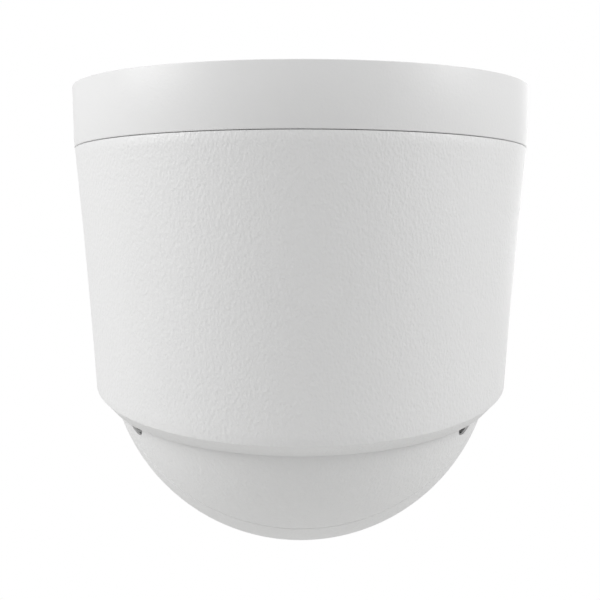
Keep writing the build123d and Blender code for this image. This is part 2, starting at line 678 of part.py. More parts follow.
def arch_outline():
    """Front view of the arch: a circle about the ball, flared into the slanted mouth with round corners."""
    slope = math.tan(math.radians(RIM_TILT))
    edge_z = RIM_Z - COLLAR_H / math.cos(math.radians(RIM_TILT))
    can_r = can_inner_r(edge_z) + WALL
    near_x = ARCH_R - 3
    far_x = near_x + ARCH_FILLET
    near_z = edge_z + slope * math.sqrt(can_r ** 2 - near_x ** 2)
    far_z = edge_z + slope * math.sqrt(can_r ** 2 - far_x ** 2)
    fall = (near_z - far_z) / (far_x - near_x)
    reach = 2 * TOP_R
    peak = near_z + fall * near_x
    points = [(0, peak), (reach, peak - fall * reach), (reach, -3 * TOP_R)]
    points += [(-reach, -3 * TOP_R), (-reach, peak - fall * reach)]
    flare = make_face(Polyline(*points, close=True))
    outline = flare + Pos(0, BALL_Z) * Circle(ARCH_R)
    corners = [v for v in outline.vertices() if abs(v.X) < ARCH_R + 1 and abs(v.X) > 1]
    return fillet(corners, ARCH_FILLET)


def make_pan_housing():
    """The can: bowed side, slanted mouth with a chamfered collar, front arch and its lining."""
    body = can_solid(0) - BELOW_MOUTH
    cut_face = body.faces().sort_by(Axis.Z)[0]
    opening_drop = (BALL_Z - RIM_Z) * math.cos(math.radians(RIM_TILT)) + COLLAR_H
    reach = BALL_R + BALL_GAP
    opening_r = math.sqrt(reach ** 2 - opening_drop ** 2)
    opening = Pos(0, 0, BALL_Z) * Rot(-RIM_TILT, 0, 0) * Pos(0, 0, -opening_drop) * Circle(opening_r)
    body += loft([cut_face, opening.face()], ruled=True)
    cavity = can_solid(WALL) - Pos(0, 0, WALL) * BELOW_MOUTH
    cavity += cyl(CAN_TOP_R - WALL, CAN_TOP_Z - 1, CAN_TOP_Z + 1)
    clearance = Pos(0, 0, BALL_Z) * Sphere(reach)
    tunnel = Pos(0, 0, BALL_Z) * Rot(90, 0, 0) * cyl(ARCH_R + ARCH_WALL, 0, 2 * TOP_R)
    lining = body & tunnel
    shell = body - cavity
    shell += lining
    for r, angle in deck_screw_places()[0]:
        post = polar(r, angle) * cyl(POST_R, DECK_LOW_Z - POST_H, DECK_LOW_Z)
        shell += (post & body)
    shell -= clearance
    cutter = extrude(Plane.XZ.offset(BALL_R / 2) * arch_outline(), TOP_R)
    shell -= cutter
    for r, angle in deck_screw_places()[0]:
        shell -= polar(r, angle) * cyl(M3_R, DECK_LOW_Z - POST_SCREW, DECK_LOW_Z + 1)
    return shell


def make_yoke_arm():
    """Bent steel arm from the deck down to the tilt axis, on the +X side."""
    points = [(-ARM_TOP_HALF, DECK_LOW_Z), (ARM_TOP_HALF, DECK_LOW_Z), (ARM_END_R, BALL_Z), (-ARM_END_R, BALL_Z)]
    outline = make_face(Polyline(*points, close=True)) + Pos(0, BALL_Z) * Circle(ARM_END_R)
    arm = extrude(Plane.YZ.offset(ARM_X) * outline, ARM_T)
    arm += block(FOOT_IN_X, ARM_X, -ARM_TOP_HALF, ARM_TOP_HALF, DECK_LOW_Z - ARM_T, DECK_LOW_Z)
    arm -= tilt_axis(cyl(TRUNNION_R, ARM_X - 1, ARM_OUT_X + 1))
    for x, y in foot_screws():
        arm -= Pos(x, y, 0) * cyl(M3_R, DECK_LOW_Z - ARM_T - 1, DECK_LOW_Z + 1)
    return arm


def make_trunnion():
    """Hollow pivot on the +X side, which the ball turns on and the wires pass through."""
    pivot = cyl(TRUNNION_R, TRUNNION_END_X, ARM_OUT_X)
    pivot += cyl(TRUNNION_R + TRUNNION_FLANGE, ARM_OUT_X, ARM_OUT_X + TRUNNION_FLANGE_T)
    pivot -= cyl(TRUNNION_R - TRUNNION_WALL, TRUNNION_END_X - 1, ARM_OUT_X + TRUNNION_FLANGE_T + 1)
    return tilt_axis(pivot)


def lens_place(y, z):
    """Turn a place in the lens frame into Y and Z of the whole camera."""
    tilt = math.radians(90 + TILT_REST)
    return y * math.cos(tilt) - z * math.sin(tilt), y * math.sin(tilt) + z * math.cos(tilt) + BALL_Z


def along_tilt(shape, y, z, turn=0.0):
    """Lay a shape built along Z beside the tilt axis, at a place given in the lens frame."""
    place_y, place_z = lens_place(y, z)
    return Pos(0, place_y, place_z) * Rot(0, 90, 0) * Rot(0, 0, turn) * shape


def mesh_angle():
    """Direction from the tilt axis to the pinion, as an angle about +X from -Z, as along_tilt() sees it."""
    place_y, place_z = lens_place(PINION_Y, PINION_Z)
    return math.degrees(math.atan2(place_y, -(place_z - BALL_Z)))


def make_sun_gear():
    """Gear fixed on the right trunnion, which the tilt pinion climbs round."""
    gear = spur_gear(SUN_TEETH, GEAR_X, GEAR_X + GEAR_W) - cyl(TRUNNION_R, GEAR_X - 1, GEAR_X + GEAR_W + 1)
    return along_tilt(gear, 0, 0, mesh_angle())


def make_head_board():
    """Control board under the front of the deck, with its tallest parts kept clear of the ball."""
    top = DECK_LOW_Z - HEAD_GAP
    low = top - BOARD_T
    half = HEAD_HALF_W
    far = WALL + HEAD_EDGE - CAN_TOP_R
    near = far + HEAD_L
    board = block(-half, half, far, near, low, top)
    for x, y, length, width, height in HEAD_CHIPS:
        board += block(x, x + length, far + y, far + y + width, low - height, low)
    for x in (POST_INSET - half, half - POST_INSET):
        for y in (far + POST_INSET, near - POST_INSET):
            board += Pos(x, y, 0) * cyl(HEAD_POST_R, top, DECK_LOW_Z)
    return board


def motor_body(length, high):
    """Square stepper motor hanging below a height, with chamfered corners and end caps."""
    half = MOTOR_SIDE / 2
    can = block(-half, half, -half, half, high - length, high)
    can = chamfer(can.edges().filter_by(Axis.Z), MOTOR_CORNER)
    ends = can - block(-half, half, -half, half, high - length + MOTOR_CAP, high - MOTOR_CAP)
    half -= MOTOR_WAIST
    waist = block(-half, half, -half, half, high - length + MOTOR_CAP, high - MOTOR_CAP)
    return ends + chamfer(waist.edges().filter_by(Axis.Z), MOTOR_CORNER)


def make_pan_motor():
    """Stepper motor under the deck at the back, which drives the pan."""
    body = motor_body(PAN_MOTOR_L, DECK_LOW_Z)
    body -= cyl(SHAFT_R + RUN, DECK_LOW_Z - PAN_MOTOR_L + 2, DECK_LOW_Z + 1)
    return Pos(0, PAN_MOTOR_Y, 0) * body


def make_pan_motor_rotor():
    """Motor shaft with the small belt pulley."""
    rotor = cyl(SHAFT_R, DECK_LOW_Z - PAN_MOTOR_L + 3, BELT_TOP_Z + 2 * PULLEY_MARGIN)
    rotor += belt_wheel(SMALL_TEETH, BELT_LOW_Z - PULLEY_MARGIN, BELT_TOP_Z + 2 * PULLEY_MARGIN)
    return Pos(0, PAN_MOTOR_Y, 0) * rotor


def belt_loop(extra):
    """Outline of the belt: two circles and their outer tangents, grown by a distance."""
    big = BIG_R + extra
    small = SMALL_R + extra
    lean = math.asin((big - small) / PAN_MOTOR_Y)
    side = math.cos(lean)
    rise = math.sin(lean)
    low = (big * side, big * rise)
    high = (small * side, PAN_MOTOR_Y + small * rise)
    left_high = (-high[0], high[1])
    left_low = (-low[0], low[1])
    line_right = Line(low, high)
    arc_small = ThreePointArc(high, (0, PAN_MOTOR_Y + small), left_high)
    line_left = Line(left_high, left_low)
    arc_big = ThreePointArc(left_low, (0, -big), low)
    return make_face(line_right + arc_small + line_left + arc_big)


def make_pan_belt():
    """Toothed belt round the fixed pulley and the motor pulley, with its teeth on the straight runs."""
    band = extrude(Pos(0, 0, BELT_LOW_Z) * (belt_loop(BELT_CLEAR + BELT_T) - belt_loop(BELT_CLEAR)), BELT_W)
    lean = math.asin((BIG_R - SMALL_R) / PAN_MOTOR_Y)
    run = math.sqrt(PAN_MOTOR_Y ** 2 - (BIG_R - SMALL_R) ** 2)
    inner = BIG_R + BELT_CLEAR
    teeth = []
    count = int((run - 12) / BELT_PITCH)
    for number in range(count):
        along = 6 + number * BELT_PITCH
        x = inner * math.cos(lean) - along * math.sin(lean)
        y = inner * math.sin(lean) + along * math.cos(lean)
        tooth = Pos(x, y, BELT_LOW_Z + BELT_W / 2) * Rot(0, 0, math.degrees(lean)) * Box(1.2, 1.0, BELT_W)
        teeth += [tooth, other_side(tooth)]
    return band + teeth


# ---------------------------------------------------------------------------------------- ball shells

def ball_solid(inset):
    """The ball's outline filled solid in the lens frame, with its flat sides and flat front."""
    side = FLAT_X - inset
    return Sphere(BALL_R - inset) & block(-side, side, -BALL_R, BALL_R, -BALL_R, FRONT_FLAT - inset)


def side_bores(radius, inner_x):
    """Round openings through both flat sides of the ball, in the lens frame."""
    bore = Rot(0, 90, 0) * cyl(radius, inner_x, BALL_R + 1)
    return bore + other_side(bore)


def cut_side_bores(shell):
    """Open a shell for the side caps and seat the caps' hidden flanges."""
    inner_x = CHEEK_X - 1
    shell -= side_bores(CAP_R, inner_x)
    return shell - (side_bores(CAP_SEAT_R, inner_x) & ball_solid(BALL_WALL))


def seal_ring():
    """The ball gasket's ring of space, half in each shell."""
    inner = BALL_R - SEAL_INSET
    return tube(inner + SEAL_W, inner, -SPLIT - SEAL_H / 2, -SPLIT + SEAL_H / 2)


def make_front_shell():
    """Front of the ball: window recess, flat sides and the lip that the rear shell closes on."""
    shell = ball_solid(0) - ball_solid(BALL_WALL)
    lip = tube(BALL_R, BALL_R - LIP_INSET, -SPLIT, -SPLIT + LIP_T) & ball_solid(BALL_WALL / 2)
    rim_low = RECESS_Z - WINDOW_LEDGE_T
    rim = tube(WINDOW_R + BEZEL_W + 1, WINDOW_R - WINDOW_LEDGE, rim_low, FRONT_FLAT - BALL_WALL)
    shell += rim & ball_solid(BALL_WALL / 2)
    shell += lip
    shell -= cyl(WINDOW_R - WINDOW_LEDGE, 0, FRONT_FLAT + 1)
    shell -= cyl(WINDOW_R + WINDOW_CLEAR, RECESS_Z, FRONT_FLAT + 1)
    shell -= tube(WINDOW_R + BEZEL_W, WINDOW_R, BEZEL_LOW_Z, FRONT_FLAT + 1)
    shell = cut_side_bores(shell)
    shell -= block(-BALL_R, BALL_R, -BALL_R, BALL_R, -BALL_R - 1, -SPLIT)
    return shell - seal_ring()


def pocket_places(radius, start, end):
    """The two cover screw pockets, as bars along X in the camera's own frame."""
    bar = Pos(0, COVER_POCKET_Y, BALL_Z - COVER_POCKET_DROP) * Rot(0, 90, 0) * cyl(radius, start, end)
    return bar + other_side(bar)


def make_rear_shell():
    """Back of the ball, screwed on through two side pockets."""
    shell = ball_solid(0) - ball_solid(BALL_WALL)
    lip = tube(BALL_R, BALL_R - LIP_INSET, -SPLIT - LIP_T, -SPLIT) & ball_solid(BALL_WALL / 2)
    shell = cut_side_bores(shell + lip)
    shell -= block(-BALL_R, BALL_R, -BALL_R, BALL_R, -SPLIT, BALL_R + 1)
    shell -= seal_ring()
    shell = LENS * shell
    cups = pocket_places(COVER_POCKET_R + COVER_POCKET_WALL, COVER_POCKET_X - BALL_WALL, BALL_R)
    shell += cups & (LENS * ball_solid(BALL_WALL / 2))
    shell -= pocket_places(COVER_POCKET_R, COVER_POCKET_X, BALL_R)
    return shell - pocket_places(M3_R, COVER_POCKET_X - COVER_SCREW, COVER_POCKET_X + 1)


def make_ball_gaskets():
    """The seal between the two shells and the seal under the window."""
    ring = seal_ring() - side_bores(CAP_SEAT_R, CHEEK_X - 1)
    window = tube(WINDOW_R, WINDOW_R - WINDOW_LEDGE, RECESS_Z, RECESS_Z + WINDOW_SEAL_T)
    return LENS * Compound(ring.solids() + window.solids())


def make_cover_screws():
    """The two screws at the bottom of the side pockets."""
    head = pocket_places(M3_HEAD_R, COVER_POCKET_X, COVER_POCKET_X + M3_HEAD_H)
    return head + pocket_places(M3_R, COVER_POCKET_X - COVER_SCREW, COVER_POCKET_X)


def make_window():
    """Flat front glass."""
    return LENS * cyl(WINDOW_R, RECESS_Z + WINDOW_SEAL_T, FRONT_FLAT)


def make_bezel():
    """Black ring that clamps the window."""
    return LENS * tube(WINDOW_R + BEZEL_W, WINDOW_R, BEZEL_LOW_Z, FRONT_FLAT + BEZEL_PROUD)


def make_side_cap():
    """Cap in the ball's +X side that holds the tilt bush and the shaft seal."""
    seat_x = FLAT_X - BALL_WALL
    cap = cyl(CAP_R, seat_x, FLAT_X) + cyl(CAP_SEAT_R, seat_x - CAP_STEP, seat_x)
    cap += cyl(SHAFT_SEAL_R + CAP_BOSS_WALL, CAP_END_X, seat_x)
    cap -= cyl(TRUNNION_R + BUSH_T, CAP_END_X - 1, BUSH_END_X)
    cap -= cyl(SHAFT_SEAL_R, BUSH_END_X, FLAT_X + 1)
    return tilt_axis(cap)


def make_bush():
    """Plain bearing in the side cap."""
    return tilt_axis(tube(TRUNNION_R + BUSH_T, TRUNNION_R + RUN, CAP_END_X + BUSH_INSET, BUSH_END_X))


def make_shaft_seal():
    """Rubber lip seal outside the bush."""
    return tilt_axis(tube(SHAFT_SEAL_R, TRUNNION_R + RUN, BUSH_END_X, FLAT_X - SEAL_SINK))


# ---------------------------------------------------------------------------------------- infrared lights

def ir_places(height):
    """Places of the LEDs, three on each side of the lens."""
    found = []
    for side in (0, 180):
        for number in range(IR_PER_SIDE):
            angle = side + (number - (IR_PER_SIDE - 1) / 2) * IR_STEP
            found.append(polar(IR_CIRCLE_R, angle, height))
    return found


def make_ir_boards():
    """Two curved boards beside the lens."""
    boards = []
    for side in (0, 180):
        boards.append(sector(BAFFLE_R + 1, IR_BOARD_R, IR_BOARD_Z, IR_BOARD_Z + BOARD_T, side, IR_ARC))
    return LENS * Compound(boards)


def make_ir_leds():
    """Infrared LED packages on the boards."""
    top = IR_BOARD_Z + BOARD_T
    size = LED_SIDE / 2
    return LENS * Compound([place * block(-size, size, -size, size, 0, LED_H) for place in ir_places(top)])


def make_ir_optics():
    """Cone-shaped moulded optic over each LED, with a hollow for the LED and a dished front."""
    low = IR_BOARD_Z + BOARD_T
    group = []
    for place in ir_places(low):
        body = Pos(0, 0, OPTIC_H / 2) * Cone(OPTIC_R * 0.5, OPTIC_R, OPTIC_H)
        body -= cyl(LED_SIDE * 0.75, -1, LED_H + 1.5)
        body -= Pos(0, 0, OPTIC_H + OPTIC_R * 1.5) * Sphere(OPTIC_R * 1.75)
        group.append(place * body)
    return LENS * Compound(group)


def make_heatsink():
    """Aluminium plate behind the IR boards, with fins to the sides."""
    low = IR_BOARD_Z - SINK_T
    plate = tube(IR_BOARD_R, BARREL_R + SINK_BORE_GAP, low, IR_BOARD_Z)
    outside = IR_BOARD_R + 1
    for side in (-1, 1):
        plate -= block(-outside, outside, side * SINK_TRIM, side * outside, low - 1, IR_BOARD_Z + 1)
    fins = []
    for side in (-1, 1):
        for number in range(FIN_COUNT):
            x = side * (IR_BOARD_R - FIN_PITCH * (FIN_COUNT - number))
            half = SINK_TRIM / 2 + FIN_PITCH - number * SINK_BORE_GAP * FIN_PITCH
            fins.append(block(x - FIN_T / 2, x + FIN_T / 2, -half, half, low - FIN_H, low))
    return LENS * (plate + fins)


def make_baffle():
    """Soft black tube that keeps infrared light on the window out of the lens."""
    return LENS * tube(BAFFLE_R, BAFFLE_R - BAFFLE_T, IR_BOARD_Z, RECESS_Z + WINDOW_SEAL_T)


# ---------------------------------------------------------------------------------------- zoom block

def rod_places():
    """The two guide rods stand at opposite corners."""
    return [(ROD_AT, ROD_AT), (-ROD_AT, -ROD_AT)]


def make_block_housing():
    """Box round the moving lens groups, open at the front for the barrel and at the back for the sensor."""
    half_w = BLOCK_W / 2
    half_h = BLOCK_H / 2
    wall = BLOCK_WALL
    body = block(-half_w, half_w, -half_h, half_h, BLOCK_REAR, BLOCK_FRONT)
    wide = half_w - wall
    tall = half_h - wall
    body -= block(-wide, wide, -tall, tall, BLOCK_REAR + wall, BLOCK_FRONT - wall)
    body -= cyl(BARREL_R - BARREL_T, BLOCK_FRONT - wall - 1, BLOCK_FRONT + 1)
    gate = SENSOR_SIDE / 2 + 0.3
    body -= block(-gate, gate, -gate, gate, BLOCK_REAR - 1, BLOCK_REAR + wall + 1)
    return LENS * body


def make_lens_barrel():
    """Front tube of the lens, which passes through the middle of the heat sink and the IR boards."""
    bore = BARREL_R - BARREL_T
    seat = BARREL_END - FRONT_LENS_T - FRONT_LENS_SINK
    barrel = tube(BARREL_R, bore, BLOCK_FRONT, BARREL_END)
    return LENS * (barrel + tube(bore, bore - 1.5, seat - BARREL_T, seat))


def lens_disc(radius, low, high, bulge):
    """A glass lens with a domed front and a flat back."""
    curve = (radius ** 2 + bulge ** 2) / (2 * bulge)
    ball = Pos(0, 0, high - curve) * Sphere(curve)
    return cyl(radius, low, high) & ball


def make_front_lens():
    """Large front element."""
    low = BARREL_END - FRONT_LENS_T - FRONT_LENS_SINK
    return LENS * lens_disc(BARREL_R - BARREL_T, low, low + FRONT_LENS_T, 3.0)


def make_guide_rods():
    """Two steel rods that the carriages slide on."""
    rod = cyl(ROD_R, BLOCK_REAR + BLOCK_WALL, BLOCK_FRONT - BLOCK_WALL)
    return LENS * Compound([Pos(x, y, 0) * rod for x, y in rod_places()])


def carriage(lens_r, low, thick):
    """A lens ring with an eye on each guide rod."""
    ring_r = lens_r + CARRIAGE_WALL
    body = cyl(ring_r, low, low + thick)
    for x, y in rod_places():
        body += Pos(x, y, 0) * cyl(ROD_R + ROD_EYE, low, low + thick)
        body += Rot(0, 0, math.degrees(math.atan2(y, x))) * block(0, math.hypot(x, y), -2, 2, low, low + thick)
    for x, y in rod_places():
        body -= Pos(x, y, 0) * cyl(ROD_R + RUN, low - 1, low + thick + 1)
    return body - cyl(lens_r, low - 1, low + thick + 1)


def make_zoom_carriage():
    """Zoom carriage with the nut that the lead screw turns in."""
    body = carriage(ZOOM_LENS_R, ZOOM_REST, ZOOM_T)
    x, y = ZOOM_SCREW_AT
    nut = Pos(x, y, 0) * cyl(ZOOM_SCREW_R + 1.8, ZOOM_REST, ZOOM_REST + ZOOM_T)
    link = Rot(0, 0, math.degrees(math.atan2(y, x))) * block(
        ZOOM_LENS_R + 1, math.hypot(x, y), -1.5, 1.5, ZOOM_REST, ZOOM_REST + ZOOM_T)
    body += nut + link
    return LENS * (body - Pos(x, y, 0) * cyl(ZOOM_SCREW_R + RUN, ZOOM_REST - 1, ZOOM_REST + ZOOM_T + 1))


def make_zoom_lens():
    """Glass of the zoom group."""
    return LENS * lens_disc(ZOOM_LENS_R, ZOOM_REST + 1, ZOOM_REST + ZOOM_T, 1.5)


def make_focus_carriage():
    """Focus carriage."""
    return LENS * carriage(FOCUS_LENS_R, FOCUS_REST, FOCUS_T)


def make_focus_lens():
    """Glass of the focus group."""
    return LENS * lens_disc(FOCUS_LENS_R, FOCUS_REST + 0.5, FOCUS_REST + FOCUS_T, 1.5)


def make_zoom_screw():
    """Lead screw that moves the zoom carriage."""
    x, y = ZOOM_SCREW_AT
    return LENS * (Pos(x, y, 0) * cyl(ZOOM_SCREW_R, FOCUS_REST, BLOCK_FRONT - BLOCK_WALL - 0.3))


def make_lens_motors():
    """Zoom stepper at the end of the lead screw and the coil that moves the focus carriage."""
    x, y = ZOOM_SCREW_AT
    low = BLOCK_REAR + BLOCK_WALL
    stepper = cyl(4.0, low, FOCUS_REST + 2) - cyl(ZOOM_SCREW_R + RUN, FOCUS_REST - 0.5, FOCUS_REST + 3)
    stepper = Pos(x, y, 0) * stepper
    coil = block(16, 23, -10, 4, low, low + 7)
    return LENS * Compound(stepper.solids() + coil.solids())


def iris_blade(side):
    """One iris blade: a thin plate with a rounded notch that closes over the light path."""
    low = IRIS_Z + side * IRIS_STAGGER
    plate = block(-IRIS_HALF_W, IRIS_HALF_W, side * 3, side * 20, low - IRIS_T / 2, low + IRIS_T / 2)
    return LENS * (plate - Pos(0, 0, low) * Cylinder(IRIS_HOLE_R, IRIS_T + 1))


def make_filter_slide():
    """Frame with the day and night filters side by side."""
    half = SENSOR_SIDE / 2
    frame = block(-half - 3, half + 3, -half - 2, half + 2 + FILTER_TRAVEL, FILTER_Z, FILTER_Z + FILTER_T)
    for y in (0, FILTER_TRAVEL):
        frame -= block(-half, half, y - half + 1, y + half - 1, FILTER_Z + 0.8, FILTER_Z + FILTER_T + 1)
    return LENS * frame


def make_sensor_board():
    """Board behind the block with the image sensor standing in the housing's gate."""
    low = BLOCK_REAR - BOARD_T
    half = SENSOR_SIDE / 2
    edge = SENSOR_BOARD_HALF
    board = block(-edge, edge, -edge, edge, low, BLOCK_REAR)
    board += block(-half, half, -half, half, BLOCK_REAR, BLOCK_REAR + SENSOR_H)
    for x, y, length, width, height in SENSOR_CHIPS:
        board += block(x, x + length, y, y + width, low - height, low)
    return LENS * board


def make_camera_board():
    """Main video board beside the block, on four posts."""
    near = -BLOCK_W / 2
    far = near - VIDEO_GAP
    back = BLOCK_REAR + 2
    front = BLOCK_FRONT - 2
    board = block(far - BOARD_T, far, 3 - BLOCK_H / 2, BLOCK_H / 2 - 5, back, front)
    for y in (POST_INSET + 3 - BLOCK_H / 2, BLOCK_H / 2 - 5 - POST_INSET):
        for z in (back + POST_INSET, front - POST_INSET):
            board += Pos(0, y, z) * Rot(0, 90, 0) * cyl(VIDEO_POST_R, far, near)
    chip = block(far - BOARD_T - 3, far - BOARD_T, -8, 8, back + 14, back + 30)
    return LENS * (board + chip)


# ---------------------------------------------------------------------------------------- chassis and tilt motor

def chassis_cheek(side):
    """Upright of the chassis round one trunnion."""
    inner = side * CHEEK_X
    outer = side * (CHEEK_X + CHEEK_T)
    cheek = block(inner, outer, TRAY_Y, 0, -CHEEK_HALF, CHEEK_HALF)
    cheek += Rot(0, 90, 0) * cyl(CHEEK_HALF, inner, outer)
    return cheek - Rot(0, 90, 0) * cyl(TRUNNION_R + 1, inner - side, outer + side)


def motor_bracket():
    """Upright of the chassis that the tilt motor is screwed to."""
    near = TILT_MOTOR_X + TILT_MOTOR_L
    half = MOTOR_SIDE / 2
    plate = block(near, near + BRACKET_T, TRAY_Y, PINION_Y + half, PINION_Z - half, PINION_Z + half)
    bore = Rot(0, 90, 0) * cyl(SHAFT_HOLE_R - 1, near - 1, near + BRACKET_T + 1)
    return plate - Pos(0, PINION_Y, PINION_Z) * bore


def make_chassis():
    """Bent frame that holds the block, the side caps, the tilt motor and the rear cover's screws."""
    width = CHEEK_X + CHEEK_T
    tray_top = TRAY_Y + TRAY_T
    body = block(-width, width, TRAY_Y, tray_top, TRAY_BACK, BLOCK_FRONT + TRAY_FRONT)
    middle = (BLOCK_FRONT + BLOCK_REAR) / 2 + 10
    body -= block(TRAY_BACK, -TRAY_BACK, TRAY_Y - 1, tray_top + 1, middle - 12, middle + 12)
    for side in (-1, 1):
        body += chassis_cheek(side)
        for low, high in ((BLOCK_REAR + 12, BLOCK_REAR + 22), (BLOCK_FRONT - 4, BLOCK_FRONT)):
            body += block(side * 14, side * 20, tray_top, -BLOCK_H / 2, low, high)
    body += motor_bracket()
    body = LENS * (body & Sphere(BALL_R - BALL_WALL - CHASSIS_CLEAR))
    ear_z = BALL_Z - COVER_POCKET_DROP
    ear_x = COVER_POCKET_X - EAR_GAP
    ear_low = COVER_POCKET_Y - EAR_HALF
    ear = block(ear_x - EAR_T, ear_x, ear_low, ear_low + 2 * EAR_HALF, ear_z - 4, ear_z + 11)
    body += ear + other_side(ear)
    return body - pocket_places(M3_R, COVER_POCKET_X - COVER_SCREW, COVER_POCKET_X)


def make_tilt_motor():
    """Stepper motor inside the ball that drives the tilt pinion."""
    top = TILT_MOTOR_X + TILT_MOTOR_L
    body = motor_body(TILT_MOTOR_L, top) - cyl(SHAFT_R + RUN, TILT_MOTOR_X + 2, top + 1)
    return LENS * Pos(0, PINION_Y, PINION_Z) * Rot(0, 90, 0) * body


def make_tilt_motor_rotor():
    """Motor shaft with the tilt pinion."""
    shaft = cyl(SHAFT_R, TILT_MOTOR_X + 3, GEAR_X + GEAR_W)
    pinion = Rot(0, 0, 180 / PINION_TEETH) * spur_gear(PINION_TEETH, GEAR_X, GEAR_X + GEAR_W)
    return along_tilt(shaft + pinion, PINION_Y, PINION_Z, mesh_angle() + 180)


def build():
    """Make every piece and write it to its own file."""
    keep("mount_plate", make_mount_plate())
    keep("cable_grommet", make_cable_grommet())
    keep("base_housing", make_base_housing())
    keep("connector_board", make_connector_board())
    keep("ethernet_jack", make_ethernet_jack())
    keep("terminal_block", make_terminal_block())
    keep("slip_ring_rotor", make_slip_ring_rotor())
    outer, inner, balls = make_bearing()
    keep("pan_bearing_outer", outer)
    keep("pan_bearing_inner", inner)
    keep("pan_bearing_balls", balls)
    keep("bearing_retainer", make_retainer())
    keep("fixed_pan_pulley", make_fixed_pulley())
    keep("pan_hub", make_pan_hub())
    keep("hub_nut", make_hub_nut())
    keep("slip_ring_body", make_slip_ring_body())
    keep("pan_deck", make_pan_deck())
    keep("deck_screws", make_deck_screws())
    keep("pan_housing", make_pan_housing())
    arm = make_yoke_arm()
    keep("yoke_arm_right", arm)
    keep("yoke_arm_left", other_side(arm))
    pivot = make_trunnion()
    keep("trunnion_right", pivot)
    keep("trunnion_left", other_side(pivot))
    keep("tilt_sun_gear", make_sun_gear())
    keep("head_board", make_head_board())
    keep("pan_motor_body", make_pan_motor())
    keep("pan_motor_rotor", make_pan_motor_rotor())
    keep("pan_belt", make_pan_belt())
    keep("ball_front_shell", LENS * make_front_shell())
    keep("ball_rear_shell", make_rear_shell())
    keep("ball_gaskets", make_ball_gaskets())
    keep("cover_screws", make_cover_screws())
    keep("front_window", make_window())
    keep("window_bezel", make_bezel())
    cap = make_side_cap()
    keep("side_cap_right", cap)
    keep("side_cap_left", other_side(cap))
    bush = make_bush()
    keep("tilt_bushes", Compound([bush, other_side(bush)]))
    seal = make_shaft_seal()
    keep("shaft_seals", Compound([seal, other_side(seal)]))
    keep("ir_boards", make_ir_boards())
    keep("ir_leds", make_ir_leds())
    keep("ir_optics", make_ir_optics())
    keep("ir_heatsink", make_heatsink())
    keep("lens_baffle", make_baffle())
    keep("block_housing", make_block_housing())
    keep("lens_barrel", make_lens_barrel())
    keep("front_lens", make_front_lens())
    keep("guide_rods", make_guide_rods())
    keep("zoom_carriage", make_zoom_carriage())
    keep("zoom_lens", make_zoom_lens())
    keep("focus_carriage", make_focus_carriage())
    keep("focus_lens", make_focus_lens())
    keep("zoom_screw", make_zoom_screw())
    keep("lens_motors", make_lens_motors())
    keep("iris_blade_upper", iris_blade(1))
    keep("iris_blade_lower", iris_blade(-1))
    keep("filter_slide", make_filter_slide())
    keep("sensor_board", make_sensor_board())
    keep("camera_board", make_camera_board())
    keep("lens_chassis", make_chassis())
    keep("tilt_motor_body", make_tilt_motor())
    keep("tilt_motor_rotor", make_tilt_motor_rotor())
    os.makedirs("parts", exist_ok=True)
    for name, shape in PARTS.items():
        export_step(shape, f"parts/{name}.step")


build()
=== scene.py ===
# %% [markdown]
# # A ceiling PTZ camera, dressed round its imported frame
# The engineering model already holds every part, joint and size. This lesson gives it its looks: the
# moulded can and ball, the window with its lights, and a finish for each inner part. All lengths are in
# metres, +Z points up into the ceiling, and the lens looks towards -Y.

# %% Load the frame
import json
import math
import bmesh
import bpy
from mathutils import Matrix, Vector


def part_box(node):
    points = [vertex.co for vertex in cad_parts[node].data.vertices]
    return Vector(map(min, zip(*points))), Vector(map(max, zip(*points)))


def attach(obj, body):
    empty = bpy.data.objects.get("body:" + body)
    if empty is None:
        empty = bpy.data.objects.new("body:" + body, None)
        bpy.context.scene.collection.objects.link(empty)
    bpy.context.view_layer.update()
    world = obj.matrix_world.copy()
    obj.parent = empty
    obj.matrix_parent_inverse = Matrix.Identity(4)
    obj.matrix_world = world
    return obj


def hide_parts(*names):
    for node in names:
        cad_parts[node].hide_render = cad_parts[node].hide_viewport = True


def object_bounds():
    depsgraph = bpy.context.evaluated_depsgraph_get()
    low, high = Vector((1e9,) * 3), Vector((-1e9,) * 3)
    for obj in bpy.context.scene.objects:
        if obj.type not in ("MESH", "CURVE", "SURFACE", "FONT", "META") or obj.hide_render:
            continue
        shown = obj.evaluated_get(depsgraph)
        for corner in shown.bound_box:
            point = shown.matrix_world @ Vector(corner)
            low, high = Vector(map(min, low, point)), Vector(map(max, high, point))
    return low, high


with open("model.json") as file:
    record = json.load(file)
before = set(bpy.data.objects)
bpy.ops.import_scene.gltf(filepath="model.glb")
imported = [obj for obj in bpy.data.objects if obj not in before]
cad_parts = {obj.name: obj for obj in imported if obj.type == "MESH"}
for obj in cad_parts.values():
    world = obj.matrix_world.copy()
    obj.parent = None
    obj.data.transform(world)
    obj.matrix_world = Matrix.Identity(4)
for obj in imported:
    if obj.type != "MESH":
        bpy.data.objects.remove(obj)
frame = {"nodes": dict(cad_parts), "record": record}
cad_bounds = [list(corner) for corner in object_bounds()]
scene = bpy.context.scene
MM = 0.001

# %% [markdown]
# ## Sizes
# The large sizes are read from the frame, so a piece made here can't drift away from the part that it
# stands for. Those that a box can't tell, such as a wall or the slant of the can's mouth, are named here
# once, in the same order as on the real camera from the ceiling down.

# %% Sizes from the frame and named sizes
base_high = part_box("base_housing")[1]
can_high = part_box("pan_housing")[1]
arm_low, arm_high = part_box("trunnion_right")
cap_low, cap_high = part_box("side_cap_right")

